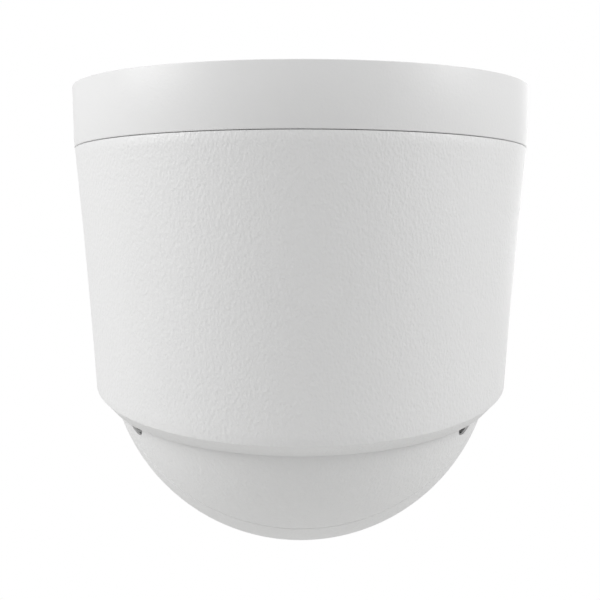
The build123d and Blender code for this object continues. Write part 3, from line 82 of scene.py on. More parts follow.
TOP_R = base_high.x
BASE_LOW_R = TOP_R - 1.0 * MM
BASE_H = 26.7 * MM
FLOOR_TOP = -19.0 * MM
FLOOR_LOW = -22.0 * MM
BOSS_R = 38.0 * MM
BEARING_R = 32.5 * MM
BEARING_TOP = -20.5 * MM
BEARING_LOW = -27.5 * MM
BEARING_STOP = 1.5 * MM
LUG_R = 88.0 * MM
LUG_TOP = -0.6 * MM
LUG_LOW = -4.4 * MM
LUG_ARC = math.radians(30)
CAN_TOP_Z = can_high.z
CAN_TOP_R = can_high.x
CAN_LOW_R = 87.1 * MM
CAN_LOW_Z = -160.0 * MM
CAN_HOLLOW = 0.7 * MM
WALL = 3.0 * MM
BALL_Z = (arm_low.z + arm_high.z) / 2
BALL_R = BALL_Z - cad_bounds[0][2]
BALL_WALL = 2.5 * MM
MOUTH_REACH = BALL_R + 2.5 * MM
RIM_Z = -127.6 * MM
RIM_TILT = math.radians(14.4)
COLLAR_H = 7.3 * MM
ARCH_R = 60.0 * MM
ARCH_FILLET = 14.0 * MM
FLAT_X = cap_high.x
CAP_R = 22.0 * MM
TILT_REST = math.radians(22)
SPLIT = 7.5 * MM
FRONT_FLAT = 66.0 * MM
WINDOW_R = 47.0 * MM
WINDOW_T = 3.0 * MM
WINDOW_LEDGE = 3.0 * MM
RECESS_Z = FRONT_FLAT - WINDOW_T - 0.8 * MM
BEZEL_W = 3.2 * MM
BEZEL_T = 1.4 * MM
BEZEL_PROUD = 0.4 * MM
BEZEL_LOW = FRONT_FLAT + BEZEL_PROUD - BEZEL_T
SHAFT_SEAL_R = 14.0 * MM
CAP_BOSS_R = 16.0 * MM
CAP_SEAT_R = 23.9 * MM
CAP_STEP = 2.0 * MM
BUSH_BORE_R = 11.0 * MM
BUSH_END_X = 75.0 * MM
LENS = Matrix.Translation((0, 0, BALL_Z)) @ Matrix.Rotation(math.pi / 2 + TILT_REST, 4, "X")
print("tilt axis at", round(BALL_Z, 4), "flats at", round(FLAT_X, 4))

# %% [markdown]
# ## The camera and the room
# The camera that takes the picture stands level behind the object, a little below its middle, and looks
# at the side away from the lens. Its distance is about four times the object's width, which keeps the
# sides nearly straight. The whole object hangs in the air, as it would from a ceiling, over a pale floor.

# %% Camera and floor
VIEW_DISTANCE = 757.5 * MM
VIEW_HEIGHT = -91.0 * MM
FOCAL = 102.9
camera = bpy.data.objects.new("camera", bpy.data.cameras.new("camera"))
scene.collection.objects.link(camera)
scene.camera = camera
camera.location = (0, VIEW_DISTANCE, VIEW_HEIGHT)
camera.rotation_euler = (math.pi / 2, 0, math.pi)
camera.data.lens = FOCAL
camera.data.sensor_width = 36
camera.data.shift_x = -0.0008
camera.data.shift_y = -0.0067
camera.data.clip_start = 0.01

FLOOR_Z = -0.52
mesh = bpy.data.meshes.new("floor")
bm = bmesh.new()
level = Matrix.Translation((0, 0, FLOOR_Z))
bmesh.ops.create_circle(bm, cap_ends=True, segments=96, radius=1.3, matrix=level)
bm.to_mesh(mesh)
bm.free()
floor = bpy.data.objects.new("floor", mesh)
scene.collection.objects.link(floor)
print("camera lens", FOCAL, "mm")

# %% [markdown]
# ## Soft studio light
# The real object was lit in a white room: its sides are brighter than its middle, and nothing casts a
# hard shadow. So a pale room gives most of the light and is brighter on the lens side, where its white
# wall wraps light round the edges. Two large soft boxes at the sides, a little above the camera, shade
# what faces down. Rays that go straight from the camera to the background see plain white.

# %% World and lamps
def add(tree, kind, inputs=None, **settings):
    """Add a shader node: its settings by name, its inputs as values or as other nodes' outputs."""
    made = tree.nodes.new(kind)
    for name, value in settings.items():
        setattr(made, name, value)
    for name, value in (inputs or {}).items():
        if isinstance(value, bpy.types.NodeSocket):
            tree.links.new(value, made.inputs[name])
        else:
            made.inputs[name].default_value = value
    return made


AMBIENT = 0.54
WHITE_WALL = 0.7
world = bpy.data.worlds.new("white room")
world.use_nodes = True
scene.world = world
room = world.node_tree
room.nodes.clear()
toward = add(room, "ShaderNodeSeparateXYZ", {"Vector": add(room, "ShaderNodeTexCoord").outputs["Generated"]})
glow = add(room, "ShaderNodeMapRange", {"Value": toward.outputs["Y"], "From Min": 0.15, "From Max": -0.35})
glow.inputs["To Min"].default_value = AMBIENT
glow.inputs["To Max"].default_value = WHITE_WALL
walls = add(room, "ShaderNodeBackground", {"Color": (1, 1, 1, 1), "Strength": glow.outputs["Result"]})
seen = add(room, "ShaderNodeBackground", {"Color": (1, 1, 1, 1), "Strength": 1.0})
ray = add(room, "ShaderNodeLightPath")
mixed = {0: ray.outputs["Is Camera Ray"], 1: walls.outputs[0], 2: seen.outputs[0]}
both = add(room, "ShaderNodeMixShader", mixed)
add(room, "ShaderNodeOutputWorld", {"Surface": both.outputs[0]})
scene.view_settings.view_transform = "Standard"


def soft_box(name, place, size, power):
    """A square lamp that faces the middle of the object."""
    data = bpy.data.lights.new(name, "AREA")
    data.size = size
    data.energy = power
    lamp = bpy.data.objects.new(name, data)
    scene.collection.objects.link(lamp)
    lamp.location = place
    aim = Vector((0, 0, BALL_Z)) - Vector(place)
    lamp.rotation_euler = aim.to_track_quat("-Z", "Y").to_euler()
    return lamp


soft_box("left box", (1.50, 0.42, 0.75), 1.0, 19.0)
soft_box("right box", (-1.50, 0.42, 0.75), 1.0, 14.6)
soft_box("lens side box", (-0.5, -1.7, 0.4), 1.2, 6.0)
print("ambient", AMBIENT)

# %% [markdown]
# ## Finishes
# Each finish below is named for the real material. The colours are written as they look on a screen, and
# one function turns them into the linear values that light is worked out in. A pattern's scale is worked
# out from its real size in millimetres, and all patterns read Object coordinates, which for these parts
# are metres in the camera's own frame.

# %% Helpers for finishes
def linear(code):
    """Turn an sRGB hex colour into linear red, green, blue and alpha."""
    parts = [int(code[i:i + 2], 16) / 255 for i in (0, 2, 4)]
    return tuple(c / 12.92 if c <= 0.04045 else ((c + 0.055) / 1.055) ** 2.4 for c in parts) + (1.0,)


def per_mm(size):
    """Texture scale whose features are this many millimetres across."""
    return 1.0 / (size * MM)


def start_finish(name, colour, rough, metal=0.0, ior=1.5, coat=0.0):
    """A named material with a plain shader and object coordinates to build on."""
    finish = bpy.data.materials.new(name)
    finish.use_nodes = True
    tree = finish.node_tree
    tree.nodes.clear()
    values = {"Base Color": linear(colour), "Roughness": rough, "Metallic": metal, "IOR": ior}
    shader = add(tree, "ShaderNodeBsdfPrincipled", values)
    shader.inputs["Coat Weight"].default_value = coat
    add(tree, "ShaderNodeOutputMaterial", {"Surface": shader.outputs[0]})
    place = add(tree, "ShaderNodeTexCoord").outputs["Object"]
    return finish, tree, shader, place


def vary_colour(tree, shader, place, size, dark, light, detail=3.0):
    """Let the base colour drift between two close colours over patches of a real size."""
    patches = add(tree, "ShaderNodeTexNoise", {"Vector": place, "Scale": per_mm(size), "Detail": detail})
    ramp = add(tree, "ShaderNodeValToRGB", {"Fac": patches.outputs["Fac"]})
    ramp.color_ramp.elements[0].position = 0.3
    ramp.color_ramp.elements[1].position = 0.7
    ramp.color_ramp.elements[0].color = linear(dark)
    ramp.color_ramp.elements[1].color = linear(light)
    tree.links.new(ramp.outputs["Color"], shader.inputs["Base Color"])


def vary_rough(tree, shader, place, size, low, high):
    """Let the roughness drift between two values over patches of a real size."""
    patches = add(tree, "ShaderNodeTexNoise", {"Vector": place, "Scale": per_mm(size), "Detail": 4.0})
    spread = {"Value": patches.outputs["Fac"], "To Min": low, "To Max": high}
    drift = add(tree, "ShaderNodeMapRange", spread)
    tree.links.new(drift.outputs["Result"], shader.inputs["Roughness"])


def raise_grain(tree, shader, height, depth, strength=1.0):
    """Bump from a height pattern, with its depth in millimetres."""
    bump = add(tree, "ShaderNodeBump", {"Height": height, "Distance": depth * MM, "Strength": strength})
    tree.links.new(bump.outputs["Normal"], shader.inputs["Normal"])


FINISH = {}

# %% [markdown]
# ### Moulded polycarbonate
# The can and the ball are injection-moulded polycarbonate. The steel mould is etched, so the skin has a
# fine leathery grain just over a millimetre across and about a tenth deep, slightly longer upright, which
# breaks up every reflection into a soft sheen. Polycarbonate's IOR is 1.58. A cellular pattern with
# rounded cells over a little noise gives that skin, and a slow drift of roughness keeps a large plain
# wall from looking flat.

# %% Moulded white skin
def moulded_polycarbonate(name, colour, grain, depth):
    """Etched-mould plastic with a fine rounded grain."""
    finish, tree, shader, place = start_finish(name, colour, 0.42, ior=1.58)
    upright = add(tree, "ShaderNodeMapping", {"Vector": place, "Scale": (1, 1, 0.75)}).outputs[0]
    spots = {"Vector": upright, "Scale": per_mm(grain)}
    cells = add(tree, "ShaderNodeTexVoronoi", spots, feature="SMOOTH_F1")
    cells.inputs["Smoothness"].default_value = 0.7
    dust = {"Vector": upright, "Scale": per_mm(grain * 0.6), "Detail": 2.0}
    fine = add(tree, "ShaderNodeTexNoise", dust)
    heights = {0: cells.outputs["Distance"], 1: fine.outputs["Fac"]}
    skin = add(tree, "ShaderNodeMath", heights, operation="ADD")
    raise_grain(tree, shader, skin.outputs[0], depth)
    vary_rough(tree, shader, place, 28.0, 0.38, 0.48)
    return finish


FINISH["white_shell"] = moulded_polycarbonate("moulded white polycarbonate", "DFDFDF", 1.3, 0.15)
FINISH["black_plastic"] = moulded_polycarbonate("moulded black polycarbonate", "17181A", 0.7, 0.02)
print("moulded skins", len(FINISH))

# %% [markdown]
# ### Powder-coated die-cast aluminium
# The base is cast and powder coated. Powder melts into a skin with a gentle orange peel, longer and
# shallower than a moulded grain, and its gloss is a little higher. The paint hides the metal, so the
# shader isn't metallic.

# %% Powder coat
def powder_coat(name, colour):
    """Baked polyester powder with orange peel."""
    finish, tree, shader, place = start_finish(name, colour, 0.4, ior=1.5)
    peel = add(tree, "ShaderNodeTexNoise", {"Vector": place, "Scale": per_mm(1.1), "Detail": 1.5})
    raise_grain(tree, shader, peel.outputs["Fac"], 0.05)
    vary_rough(tree, shader, place, 30.0, 0.36, 0.46)
    return finish


FINISH["white_cast"] = powder_coat("white powder-coated cast aluminium", "DFDFDF")
print("powder coat ready")

# %% [markdown]
# ### Metals
# Zinc plate is a soft grey with a fine spangle. Ground steel and turned aluminium have lines along the
# tool's path. Bead-blasted alloy is even and matt, and black anodised alloy keeps a metal's sheen under a
# dark oxide. Metals keep the default IOR, because metallic shading doesn't use it.

# %% Metal finishes
def plated_steel(name, colour, dark, rough):
    """Zinc-plated sheet with a faint spangle."""
    finish, tree, shader, place = start_finish(name, colour, rough, metal=1.0)
    vary_colour(tree, shader, place, 5.0, dark, colour)
    vary_rough(tree, shader, place, 3.0, rough - 0.08, rough + 0.1)
    return finish


def ground_steel(name, colour, rough):
    """Steel with fine tool lines round its axis."""
    finish, tree, shader, place = start_finish(name, colour, rough, metal=1.0)
    squeezed = add(tree, "ShaderNodeMapping", {"Vector": place, "Scale": (1, 1, 14)})
    pattern = {"Vector": squeezed.outputs[0], "Scale": per_mm(2.0), "Detail": 5.0}
    lines = add(tree, "ShaderNodeTexNoise", pattern)
    raise_grain(tree, shader, lines.outputs["Fac"], 0.01)
    vary_rough(tree, shader, place, 1.5, rough - 0.06, rough + 0.08)
    return finish


def blasted_alloy(name, colour, rough, grit):
    """Bead-blasted aluminium, bare or anodised."""
    finish, tree, shader, place = start_finish(name, colour, rough, metal=1.0)
    pits = add(tree, "ShaderNodeTexNoise", {"Vector": place, "Scale": per_mm(grit), "Detail": 3.0})
    raise_grain(tree, shader, pits.outputs["Fac"], 0.02)
    vary_rough(tree, shader, place, 12.0, rough - 0.05, rough + 0.07)
    return finish


FINISH["zinc_steel"] = plated_steel("zinc-plated sheet steel", "B4B6B4", "9B9E9E", 0.36)
FINISH["bright_steel"] = ground_steel("ground stainless steel", "C6C6C4", 0.24)
FINISH["brass"] = ground_steel("turned brass", "C9A55C", 0.26)
FINISH["alloy"] = blasted_alloy("bead-blasted aluminium", "BFC1C2", 0.42, 0.5)
FINISH["black_alloy"] = blasted_alloy("black anodised aluminium", "2A2B2E", 0.38, 0.5)
FINISH["motor_black"] = blasted_alloy("black oxide motor steel", "242426", 0.45, 0.8)
print("finishes so far", list(FINISH))

# %% [markdown]
# ### Rubber, engineering plastics and circuit board
# EPDM rubber is nearly black and very matt. Acetal gears and terminals are a warm natural white. Circuit
# board is woven glass under a translucent green resist: the weave shows as a faint checker about half a
# millimetre across, and the copper under it as lighter tracks.

# %% Other opaque finishes
def moulded_rubber(name, colour):
    """Matt rubber with a dusty bloom."""
    finish, tree, shader, place = start_finish(name, colour, 0.78, ior=1.52)
    vary_colour(tree, shader, place, 6.0, "0E0E0F", colour)
    dust = add(tree, "ShaderNodeTexNoise", {"Vector": place, "Scale": per_mm(0.4), "Detail": 3.0})
    raise_grain(tree, shader, dust.outputs["Fac"], 0.02)
    return finish


def satin_plastic(name, colour, dark, rough):
    """Plain engineering plastic, slightly uneven in tone."""
    finish, tree, shader, place = start_finish(name, colour, rough, ior=1.48)
    vary_colour(tree, shader, place, 9.0, dark, colour)
    skin = add(tree, "ShaderNodeTexNoise", {"Vector": place, "Scale": per_mm(0.6), "Detail": 2.0})
    raise_grain(tree, shader, skin.outputs["Fac"], 0.015)
    return finish


def circuit_board(name, resist, track):
    """Green solder resist over woven glass and copper tracks."""
    finish, tree, shader, place = start_finish(name, resist, 0.33, ior=1.55)
    grid = add(tree, "ShaderNodeTexBrick", {"Vector": place, "Scale": per_mm(9.0)})
    grid.inputs["Color1"].default_value = linear(resist)
    grid.inputs["Color2"].default_value = linear(resist)
    grid.inputs["Mortar"].default_value = linear(track)
    grid.inputs["Mortar Size"].default_value = 0.03
    tree.links.new(grid.outputs["Color"], shader.inputs["Base Color"])
    weave = add(tree, "ShaderNodeTexChecker", {"Vector": place, "Scale": per_mm(0.5)})
    raise_grain(tree, shader, weave.outputs["Fac"], 0.01)
    return finish


FINISH["black_rubber"] = moulded_rubber("EPDM rubber", "1B1B1C")
FINISH["dark_plastic"] = satin_plastic("glass-filled nylon", "2B2C2F", "232427", 0.5)
FINISH["nylon"] = satin_plastic("natural acetal", "E3DFD2", "D6D1C2", 0.38)
FINISH["circuit_board"] = circuit_board("circuit board", "1F5B3A", "3C7F57")
FINISH["led"] = satin_plastic("LED silicone on ceramic", "E8D98A", "D8C46E", 0.3)
print("opaque finishes", len(FINISH))

# %% [markdown]
# ### Glass and clear acrylic
# The window is flat float glass with an anti-reflection coating, the lens elements are optical glass with
# a bluish purple coating, and the lamps' optics are clear acrylic, IOR 1.49. They all transmit light, so
# what lies behind them shows. The coating is a thin film on the shader's own sockets.

# %% Clear finishes
def clear_finish(name, colour, rough, ior, film=0.0):
    """See-through glass or acrylic, with a thin coating measured in nanometres."""
    finish, tree, shader, place = start_finish(name, colour, rough, ior=ior)
    shader.inputs["Transmission Weight"].default_value = 1.0
    shader.inputs["Thin Film Thickness"].default_value = film
    shader.inputs["Thin Film IOR"].default_value = 1.38
    wipe = add(tree, "ShaderNodeTexNoise", {"Vector": place, "Scale": per_mm(20.0), "Detail": 4.0})
    spread = {"Value": wipe.outputs["Fac"], "To Min": rough, "To Max": rough + 0.02}
    haze = add(tree, "ShaderNodeMapRange", spread)
    tree.links.new(haze.outputs["Result"], shader.inputs["Roughness"])
    return finish


FINISH["window_glass"] = clear_finish("coated float glass", "F6F9FA", 0.0, 1.46, film=120.0)
FINISH["lens_glass"] = clear_finish("multi-coated optical glass", "AFC0E8", 0.0, 1.62, film=340.0)
FINISH["clear_optic"] = clear_finish("clear moulded acrylic", "FBFBF8", 0.03, 1.49)
print("finishes", len(FINISH))

# %% [markdown]
# ## Dress the frame's own nodes
# Most inner parts already have their right shape, so they only take a finish. The record says which
# finish each node belongs to.

# %% Give each node its finish
for part in frame["record"]["subparts"]:
    node = frame["nodes"][part["node"]]
    for slot in node.material_slots:
        slot.material = FINISH[part["material_slot"]]

# %% [markdown]
# ## Making a piece
# Every new piece is drawn with mesh operators and then finished by one function, which rounds nothing by
# itself: it turns the normals outwards, shades the smooth parts smooth and keeps real edges crisp, hides
# the plain node that the piece stands for, and lets it ride on its body.

# %% Helpers for pieces
SIDES = 192


def finish_piece(name, bm, slot, body, replaced=(), angle=32, recalc=True):
    """Turn a drawn mesh into a named piece that rides on a body."""
    bmesh.ops.remove_doubles(bm, verts=bm.verts, dist=1e-6)
    if recalc:
        bmesh.ops.recalc_face_normals(bm, faces=bm.faces)
    mesh = bpy.data.meshes.new(name)
    bm.to_mesh(mesh)
    bm.free()
    mesh.shade_smooth()
    mesh.set_sharp_from_angle(angle=math.radians(angle))
    mesh.materials.append(FINISH[slot])
    piece = bpy.data.objects.new(name, mesh)
    scene.collection.objects.link(piece)
    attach(piece, body)
    if replaced:
        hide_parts(*replaced)
    print(f"{name}: {len(mesh.polygons)} faces")
    return piece


def spin_profile(points, steps=SIDES, matrix=None):
    """Spin a closed outline of (radius, height) points round Z into a solid of revolution."""
    bm = bmesh.new()
    ring = [bm.verts.new((r, 0, z)) for r, z in points]
    edges = [bm.edges.new((a, b)) for a, b in zip(ring, ring[1:] + ring[:1])]
    bmesh.ops.spin(bm, geom=ring + edges, cent=(0, 0, 0), axis=(0, 0, 1), angle=math.tau, steps=steps,
                   use_merge=True, use_duplicate=False)
    bmesh.ops.remove_doubles(bm, verts=bm.verts, dist=1e-6)
    if matrix is not None:
        bmesh.ops.transform(bm, matrix=matrix, verts=bm.verts)
    return bm


def round_edges(bm, width, segments=3, angle=35, chosen=None):
    """Round the sharp edges of a mesh, or those of them that a test picks."""
    bm.normal_update()
    sharp = []
    for edge in bm.edges:
        if len(edge.link_faces) == 2 and edge.calc_face_angle(0) > math.radians(angle):
            if chosen is None or chosen(edge):
                sharp.append(edge)
    bmesh.ops.bevel(bm, geom=sharp, offset=width, segments=segments, profile=0.5, affect="EDGES",
                    clamp_overlap=True, material=-1)


def arc_points(radius, start, end, count, centre=(0.0, 0.0)):
    """Points of an arc in an outline, angles in degrees from the outline's own axis of radius."""
    found = []
    for number in range(count + 1):
        turn = math.radians(start + (end - start) * number / count)
        found.append((centre[0] + radius * math.cos(turn), centre[1] + radius * math.sin(turn)))
    return found


# %% [markdown]
# ## The base band
# The base is a shallow casting: an outer band that leans in by a millimetre, a floor, and a boss for the
# bearing. It is drawn as one outline and spun. Three lugs inside hang on the mount plate's tabs, and are
# short lengths of a smaller outline.

# %% Base
outline = [
    (TOP_R, 0), (BASE_LOW_R, -BASE_H), (BASE_LOW_R - WALL, -BASE_H), (BASE_LOW_R - WALL, FLOOR_LOW),
    (BOSS_R, FLOOR_LOW), (BOSS_R, BEARING_LOW), (BEARING_R, BEARING_LOW), (BEARING_R, BEARING_TOP),
    (BEARING_R - BEARING_STOP, BEARING_TOP), (BEARING_R - BEARING_STOP, FLOOR_TOP),
    (TOP_R - WALL, FLOOR_TOP), (TOP_R - WALL, 0),
]
bm = spin_profile(outline, steps=256)
round_edges(bm, 0.45 * MM)
lug_out = TOP_R - WALL * 0.8
lug = [(LUG_R, LUG_TOP), (lug_out, LUG_TOP), (lug_out, LUG_LOW), (LUG_R, LUG_LOW)]
for number in range(3):
    start = math.pi / 2 + number * math.tau / 3 - LUG_ARC / 2
    ring = [bm.verts.new((r * math.cos(start), r * math.sin(start), z)) for r, z in lug]
    face = bm.faces.new(ring)
    bmesh.ops.spin(bm, geom=[face], cent=(0, 0, 0), axis=(0, 0, 1), angle=LUG_ARC, steps=12,
                   use_duplicate=False)
finish_piece("base_band", bm, "white_cast", "base", ["base_housing"])

# %% [markdown]
# ## The can's edge, worked out
# Seen from the side, the can's mouth is cut on a slant, lower at the back. Seen from the front, an arch
# lets the lens look out, and it runs into the slanted edge with a rounded corner. The functions here give
# the can's radius at a height, and the height of the edge at any place, so that the wall can be drawn
# down to it column by column.

# %% Edge of the can
SLANT = math.tan(RIM_TILT)


def can_r(z):
    """Outer radius of the bowed can at a height."""
    share = (CAN_TOP_Z - z) / (CAN_TOP_Z - CAN_LOW_Z)
    return CAN_TOP_R + (CAN_LOW_R - CAN_TOP_R) * share - CAN_HOLLOW * 4 * share * (1 - share)


def slant_z(turn):
    """Height of the slanted edge at a turn about Z from the back."""
    z = RIM_Z
    for _ in range(12):
        z = RIM_Z - SLANT * can_r(z) * math.cos(turn)
    return z


MOUTH_DROP = (BALL_Z - RIM_Z) * math.cos(RIM_TILT) + COLLAR_H
MOUTH_R = math.sqrt(MOUTH_REACH ** 2 - MOUTH_DROP ** 2)
TIP = Matrix.Translation((0, 0, BALL_Z)) @ Matrix.Rotation(-RIM_TILT, 4, "X")


def mouth_point(turn):
    """Point of the round opening at a turn about Z from the back."""
    local = turn
    for _ in range(8):
        point = TIP @ Vector((MOUTH_R * math.sin(local), MOUTH_R * math.cos(local), -MOUTH_DROP))
        local += turn - math.atan2(point.x, point.y)
    return TIP @ Vector((MOUTH_R * math.sin(local), MOUTH_R * math.cos(local), -MOUTH_DROP))


edge_z = BALL_Z - MOUTH_DROP / math.cos(RIM_TILT)
near_x = ARCH_R - 3 * MM
far_x = near_x + ARCH_FILLET
near_z = edge_z + SLANT * math.sqrt(can_r(edge_z) ** 2 - near_x ** 2)
far_z = edge_z + SLANT * math.sqrt(can_r(edge_z) ** 2 - far_x ** 2)
FALL = (near_z - far_z) / (far_x - near_x)
PEAK = near_z + FALL * near_x


def corner_centre():
    """Centre of the arch's rounded corner, seen from the front."""
    low, high = ARCH_R, ARCH_R + 2 * ARCH_FILLET
    for _ in range(40):
        x = (low + high) / 2
        z = PEAK - FALL * x + ARCH_FILLET * math.sqrt(1 + FALL ** 2)
        if math.hypot(x, z - BALL_Z) < ARCH_R + ARCH_FILLET:
            low = x
        else:
            high = x
    return x, z


CORNER_X, CORNER_Z = corner_centre()
TANGENT_X = CORNER_X * ARCH_R / (ARCH_R + ARCH_FILLET)
LINE_X = CORNER_X - ARCH_FILLET * FALL / math.sqrt(1 + FALL ** 2)


def arch_z(x):
    """Height of the arch's outline at a distance from the middle, seen from the front."""
    x = abs(x)
    if x <= TANGENT_X:
        return BALL_Z + math.sqrt(ARCH_R ** 2 - x ** 2)
    if x <= LINE_X:
        return CORNER_Z - math.sqrt(max(0.0, ARCH_FILLET ** 2 - (CORNER_X - x) ** 2))
    return PEAK - FALL * x


def edge_columns():
    """Turns about Z of the can's columns on one side, evenly spaced along its edge, back to front."""
    track = []
    steps = 4000
    for number in range(steps + 1):
        turn = math.pi * number / steps
        track.append((turn, edge_height(turn)))
    lengths = [0.0]
    for (t0, z0), (t1, z1) in zip(track, track[1:]):
        lengths.append(lengths[-1] + math.hypot((t1 - t0) * can_r(z0), z1 - z0))
    count = 190
    chosen = []
    place = 0
    for number in range(count + 1):
        goal = lengths[-1] * number / count
        while place < steps and lengths[place + 1] < goal:
            place += 1
        span = max(lengths[min(place + 1, steps)] - lengths[place], 1e-12)
        part = min(1.0, (goal - lengths[place]) / span)
        chosen.append(track[place][0] + (track[min(place + 1, steps)][0] - track[place][0]) * part)
    return chosen


def edge_height(turn):
    """Height of the can's outer edge at a turn about Z from the back."""
    low = slant_z(turn)
    if math.cos(turn) >= 0:
        return low
    z = low
    for _ in range(60):
        x = can_r(z) * math.sin(turn)
        goal = max(low, arch_z(x)) if abs(x) < LINE_X else low
        z += (goal - z) * 0.5
    return z


half = edge_columns()
TURNS = half[:-1] + [math.pi] + [math.tau - t for t in reversed(half[1:-1])]
ends = [round(edge_height(turn) / MM, 1) for turn in (0, math.pi)]
print("columns", len(TURNS), "edge at the back and front", ends)

# %% [markdown]
# ## The can
# A ring of edges at the top is extruded down row by row, and each row is set on the bowed wall at its
# share of the way to the edge. The next rows turn in over the collar or into the arch, pass the round
# opening, and go back up inside the wall, so the can is one closed shell. The long edges of the mouth are
# then rounded a little, as a mould leaves them.

# %% Can
ROWS = 26


def collar_points(turn):
    """The collar's lower edge and the lip inside it, at one column."""
    z = edge_height(turn)
    edge = Vector((can_r(z) * math.sin(turn), can_r(z) * math.cos(turn), z))
    mouth = mouth_point(turn)
    inner = Vector((mouth.x, mouth.y, mouth.z + 4 * MM))
    flat = math.sqrt(MOUTH_REACH ** 2 - (inner.z - BALL_Z) ** 2)
    inner.x, inner.y = flat * math.sin(turn), flat * math.cos(turn)
    drop = 1.0
    if math.cos(turn) < 0 and abs(edge.x) < LINE_X:
        outline = arch_z(edge.x)
        drop = min(1.0, max(0.0, (z - outline) / max(1e-6, z - mouth.z)))
        if z > slant_z(turn) + 0.05 * MM:
            drop = 0.0
    step = max(drop, 0.06)
    lower = edge.lerp(mouth, step)
    reach = MOUTH_REACH ** 2 - edge.x ** 2 - (lower.z - BALL_Z) ** 2
    tunnel = Vector((edge.x, -math.sqrt(max(reach, 0.0)), lower.z))
    if drop == 0.0:
        lower = edge.lerp(tunnel, 0.05)
    return edge, lower, tunnel.lerp(inner, drop), drop


bm = bmesh.new()
top = bmesh.ops.create_circle(bm, cap_ends=False, segments=len(TURNS), radius=CAN_TOP_R)["verts"]
edge_data = [collar_points(turn) for turn in TURNS]


def next_ring(bm, ring, places):
    """Extrude a ring of vertices and set the new ring on its places."""
    loop = [bm.edges.get((a, b)) for a, b in zip(ring, ring[1:] + ring[:1])]
    made = bmesh.ops.extrude_edge_only(bm, edges=loop)["geom"]
    fresh = [v for v in made if isinstance(v, bmesh.types.BMVert)]
    linked = []
    for old in ring:
        match = [e.other_vert(old) for e in old.link_edges if e.other_vert(old) in fresh]
        linked.append(match[0])
    for vert, place in zip(linked, places):
        vert.co = place
    return linked


ring = list(top)
for vert, turn in zip(ring, TURNS):
    vert.co = (CAN_TOP_R * math.sin(turn), CAN_TOP_R * math.cos(turn), CAN_TOP_Z)
first = ring
for row in range(1, ROWS + 1):
    places = []
    for turn, (edge, _, _, _) in zip(TURNS, edge_data):
        z = CAN_TOP_Z + (edge.z - CAN_TOP_Z) * row / ROWS
        places.append((can_r(z) * math.sin(turn), can_r(z) * math.cos(turn), z))
    ring = next_ring(bm, ring, places)
rim_ring = ring
ring = next_ring(bm, ring, [data[1] for data in edge_data])
mouth_ring = ring
ring = next_ring(bm, ring, [data[2] for data in edge_data])
lip_ring = ring
INSIDE_RISE = 9 * MM
inside = [(data[0].z + INSIDE_RISE, turn) for data, turn in zip(edge_data, TURNS)]
for rise in (0.0, 0.4, 1.0):
    places = []
    for z, turn in inside:
        height = z + (CAN_TOP_Z - z) * rise
        reach = can_r(height) - WALL
        places.append((reach * math.sin(turn), reach * math.cos(turn), height))
    ring = next_ring(bm, ring, places)
bmesh.ops.bridge_loops(bm, edges=[bm.edges.get((a, b)) for a, b in zip(ring, ring[1:] + ring[:1])]
                       + [bm.edges.get((a, b)) for a, b in zip(first, first[1:] + first[:1])])
crisp = []
for loop in (rim_ring, lip_ring, first, mouth_ring):
    crisp += [bm.edges.get((a, b)) for a, b in zip(loop, loop[1:] + loop[:1])]
crisp = [e for e in crisp if e.calc_face_angle(0) > math.radians(20)]
bmesh.ops.bevel(bm, geom=crisp, offset=0.35 * MM, segments=2, profile=0.5, affect="EDGES",
                clamp_overlap=True, material=-1)
finish_piece("can", bm, "white_shell", "pan", ["pan_housing"])

# %% [markdown]
# ## The ball
# The ball is two thin shells that meet on a plane behind its middle. Each is an outline in the lens's own
# frame: from the pole round to the parting edge, back along the inside. It is spun round the lens axis,
# then its sides are sliced flat where the pivots come in, and the slices are filled.

# %% Ball shells
POLE = 90.0
split_out = math.degrees(math.asin(SPLIT / BALL_R))
inner_r = BALL_R - BALL_WALL
split_in = math.degrees(math.asin(SPLIT / inner_r))
GROOVE_W = 0.6 * MM
GROOVE_DEEP = 0.5 * MM
PART_GAP = 0.07 * MM
groove_turn = math.degrees(GROOVE_W / BALL_R)
part_r = math.sqrt(BALL_R ** 2 - SPLIT ** 2) - GROOVE_DEEP


def slice_flats(bm):
    """Slice both sides of a shell flat, fill the cuts, and open them to the side caps' radius."""
    for side in (-1, 1):
        geometry = bm.verts[:] + bm.edges[:] + bm.faces[:]
        cut = bmesh.ops.bisect_plane(bm, geom=geometry, dist=1e-7, plane_co=(side * FLAT_X, 0, 0),
                                     plane_no=(side, 0, 0), clear_outer=True)
        rim = [e for e in cut["geom_cut"] if isinstance(e, bmesh.types.BMEdge)]
        for vert in {v for e in rim for v in e.verts}:
            reach = math.hypot(vert.co.y, vert.co.z)
            if reach < CAP_R * 1.05:
                vert.co.y = math.copysign(math.sqrt(max(0.0, CAP_R ** 2 - vert.co.z ** 2)), vert.co.y)
        bmesh.ops.holes_fill(bm, edges=[e for e in bm.edges if e.is_boundary], sides=0)


rear = arc_points(BALL_R, -POLE, -split_out - groove_turn, 72) + [(part_r, -SPLIT - PART_GAP)]
rear += list(reversed(arc_points(inner_r, -POLE, -split_in, 40)))
bm = spin_profile(rear)
round_edges(bm, 0.3 * MM, segments=3)
slice_flats(bm)
bmesh.ops.transform(bm, matrix=LENS, verts=bm.verts)
rear_shell = finish_piece("rear_cover", bm, "white_shell", "tilt", ["ball_rear_shell"])

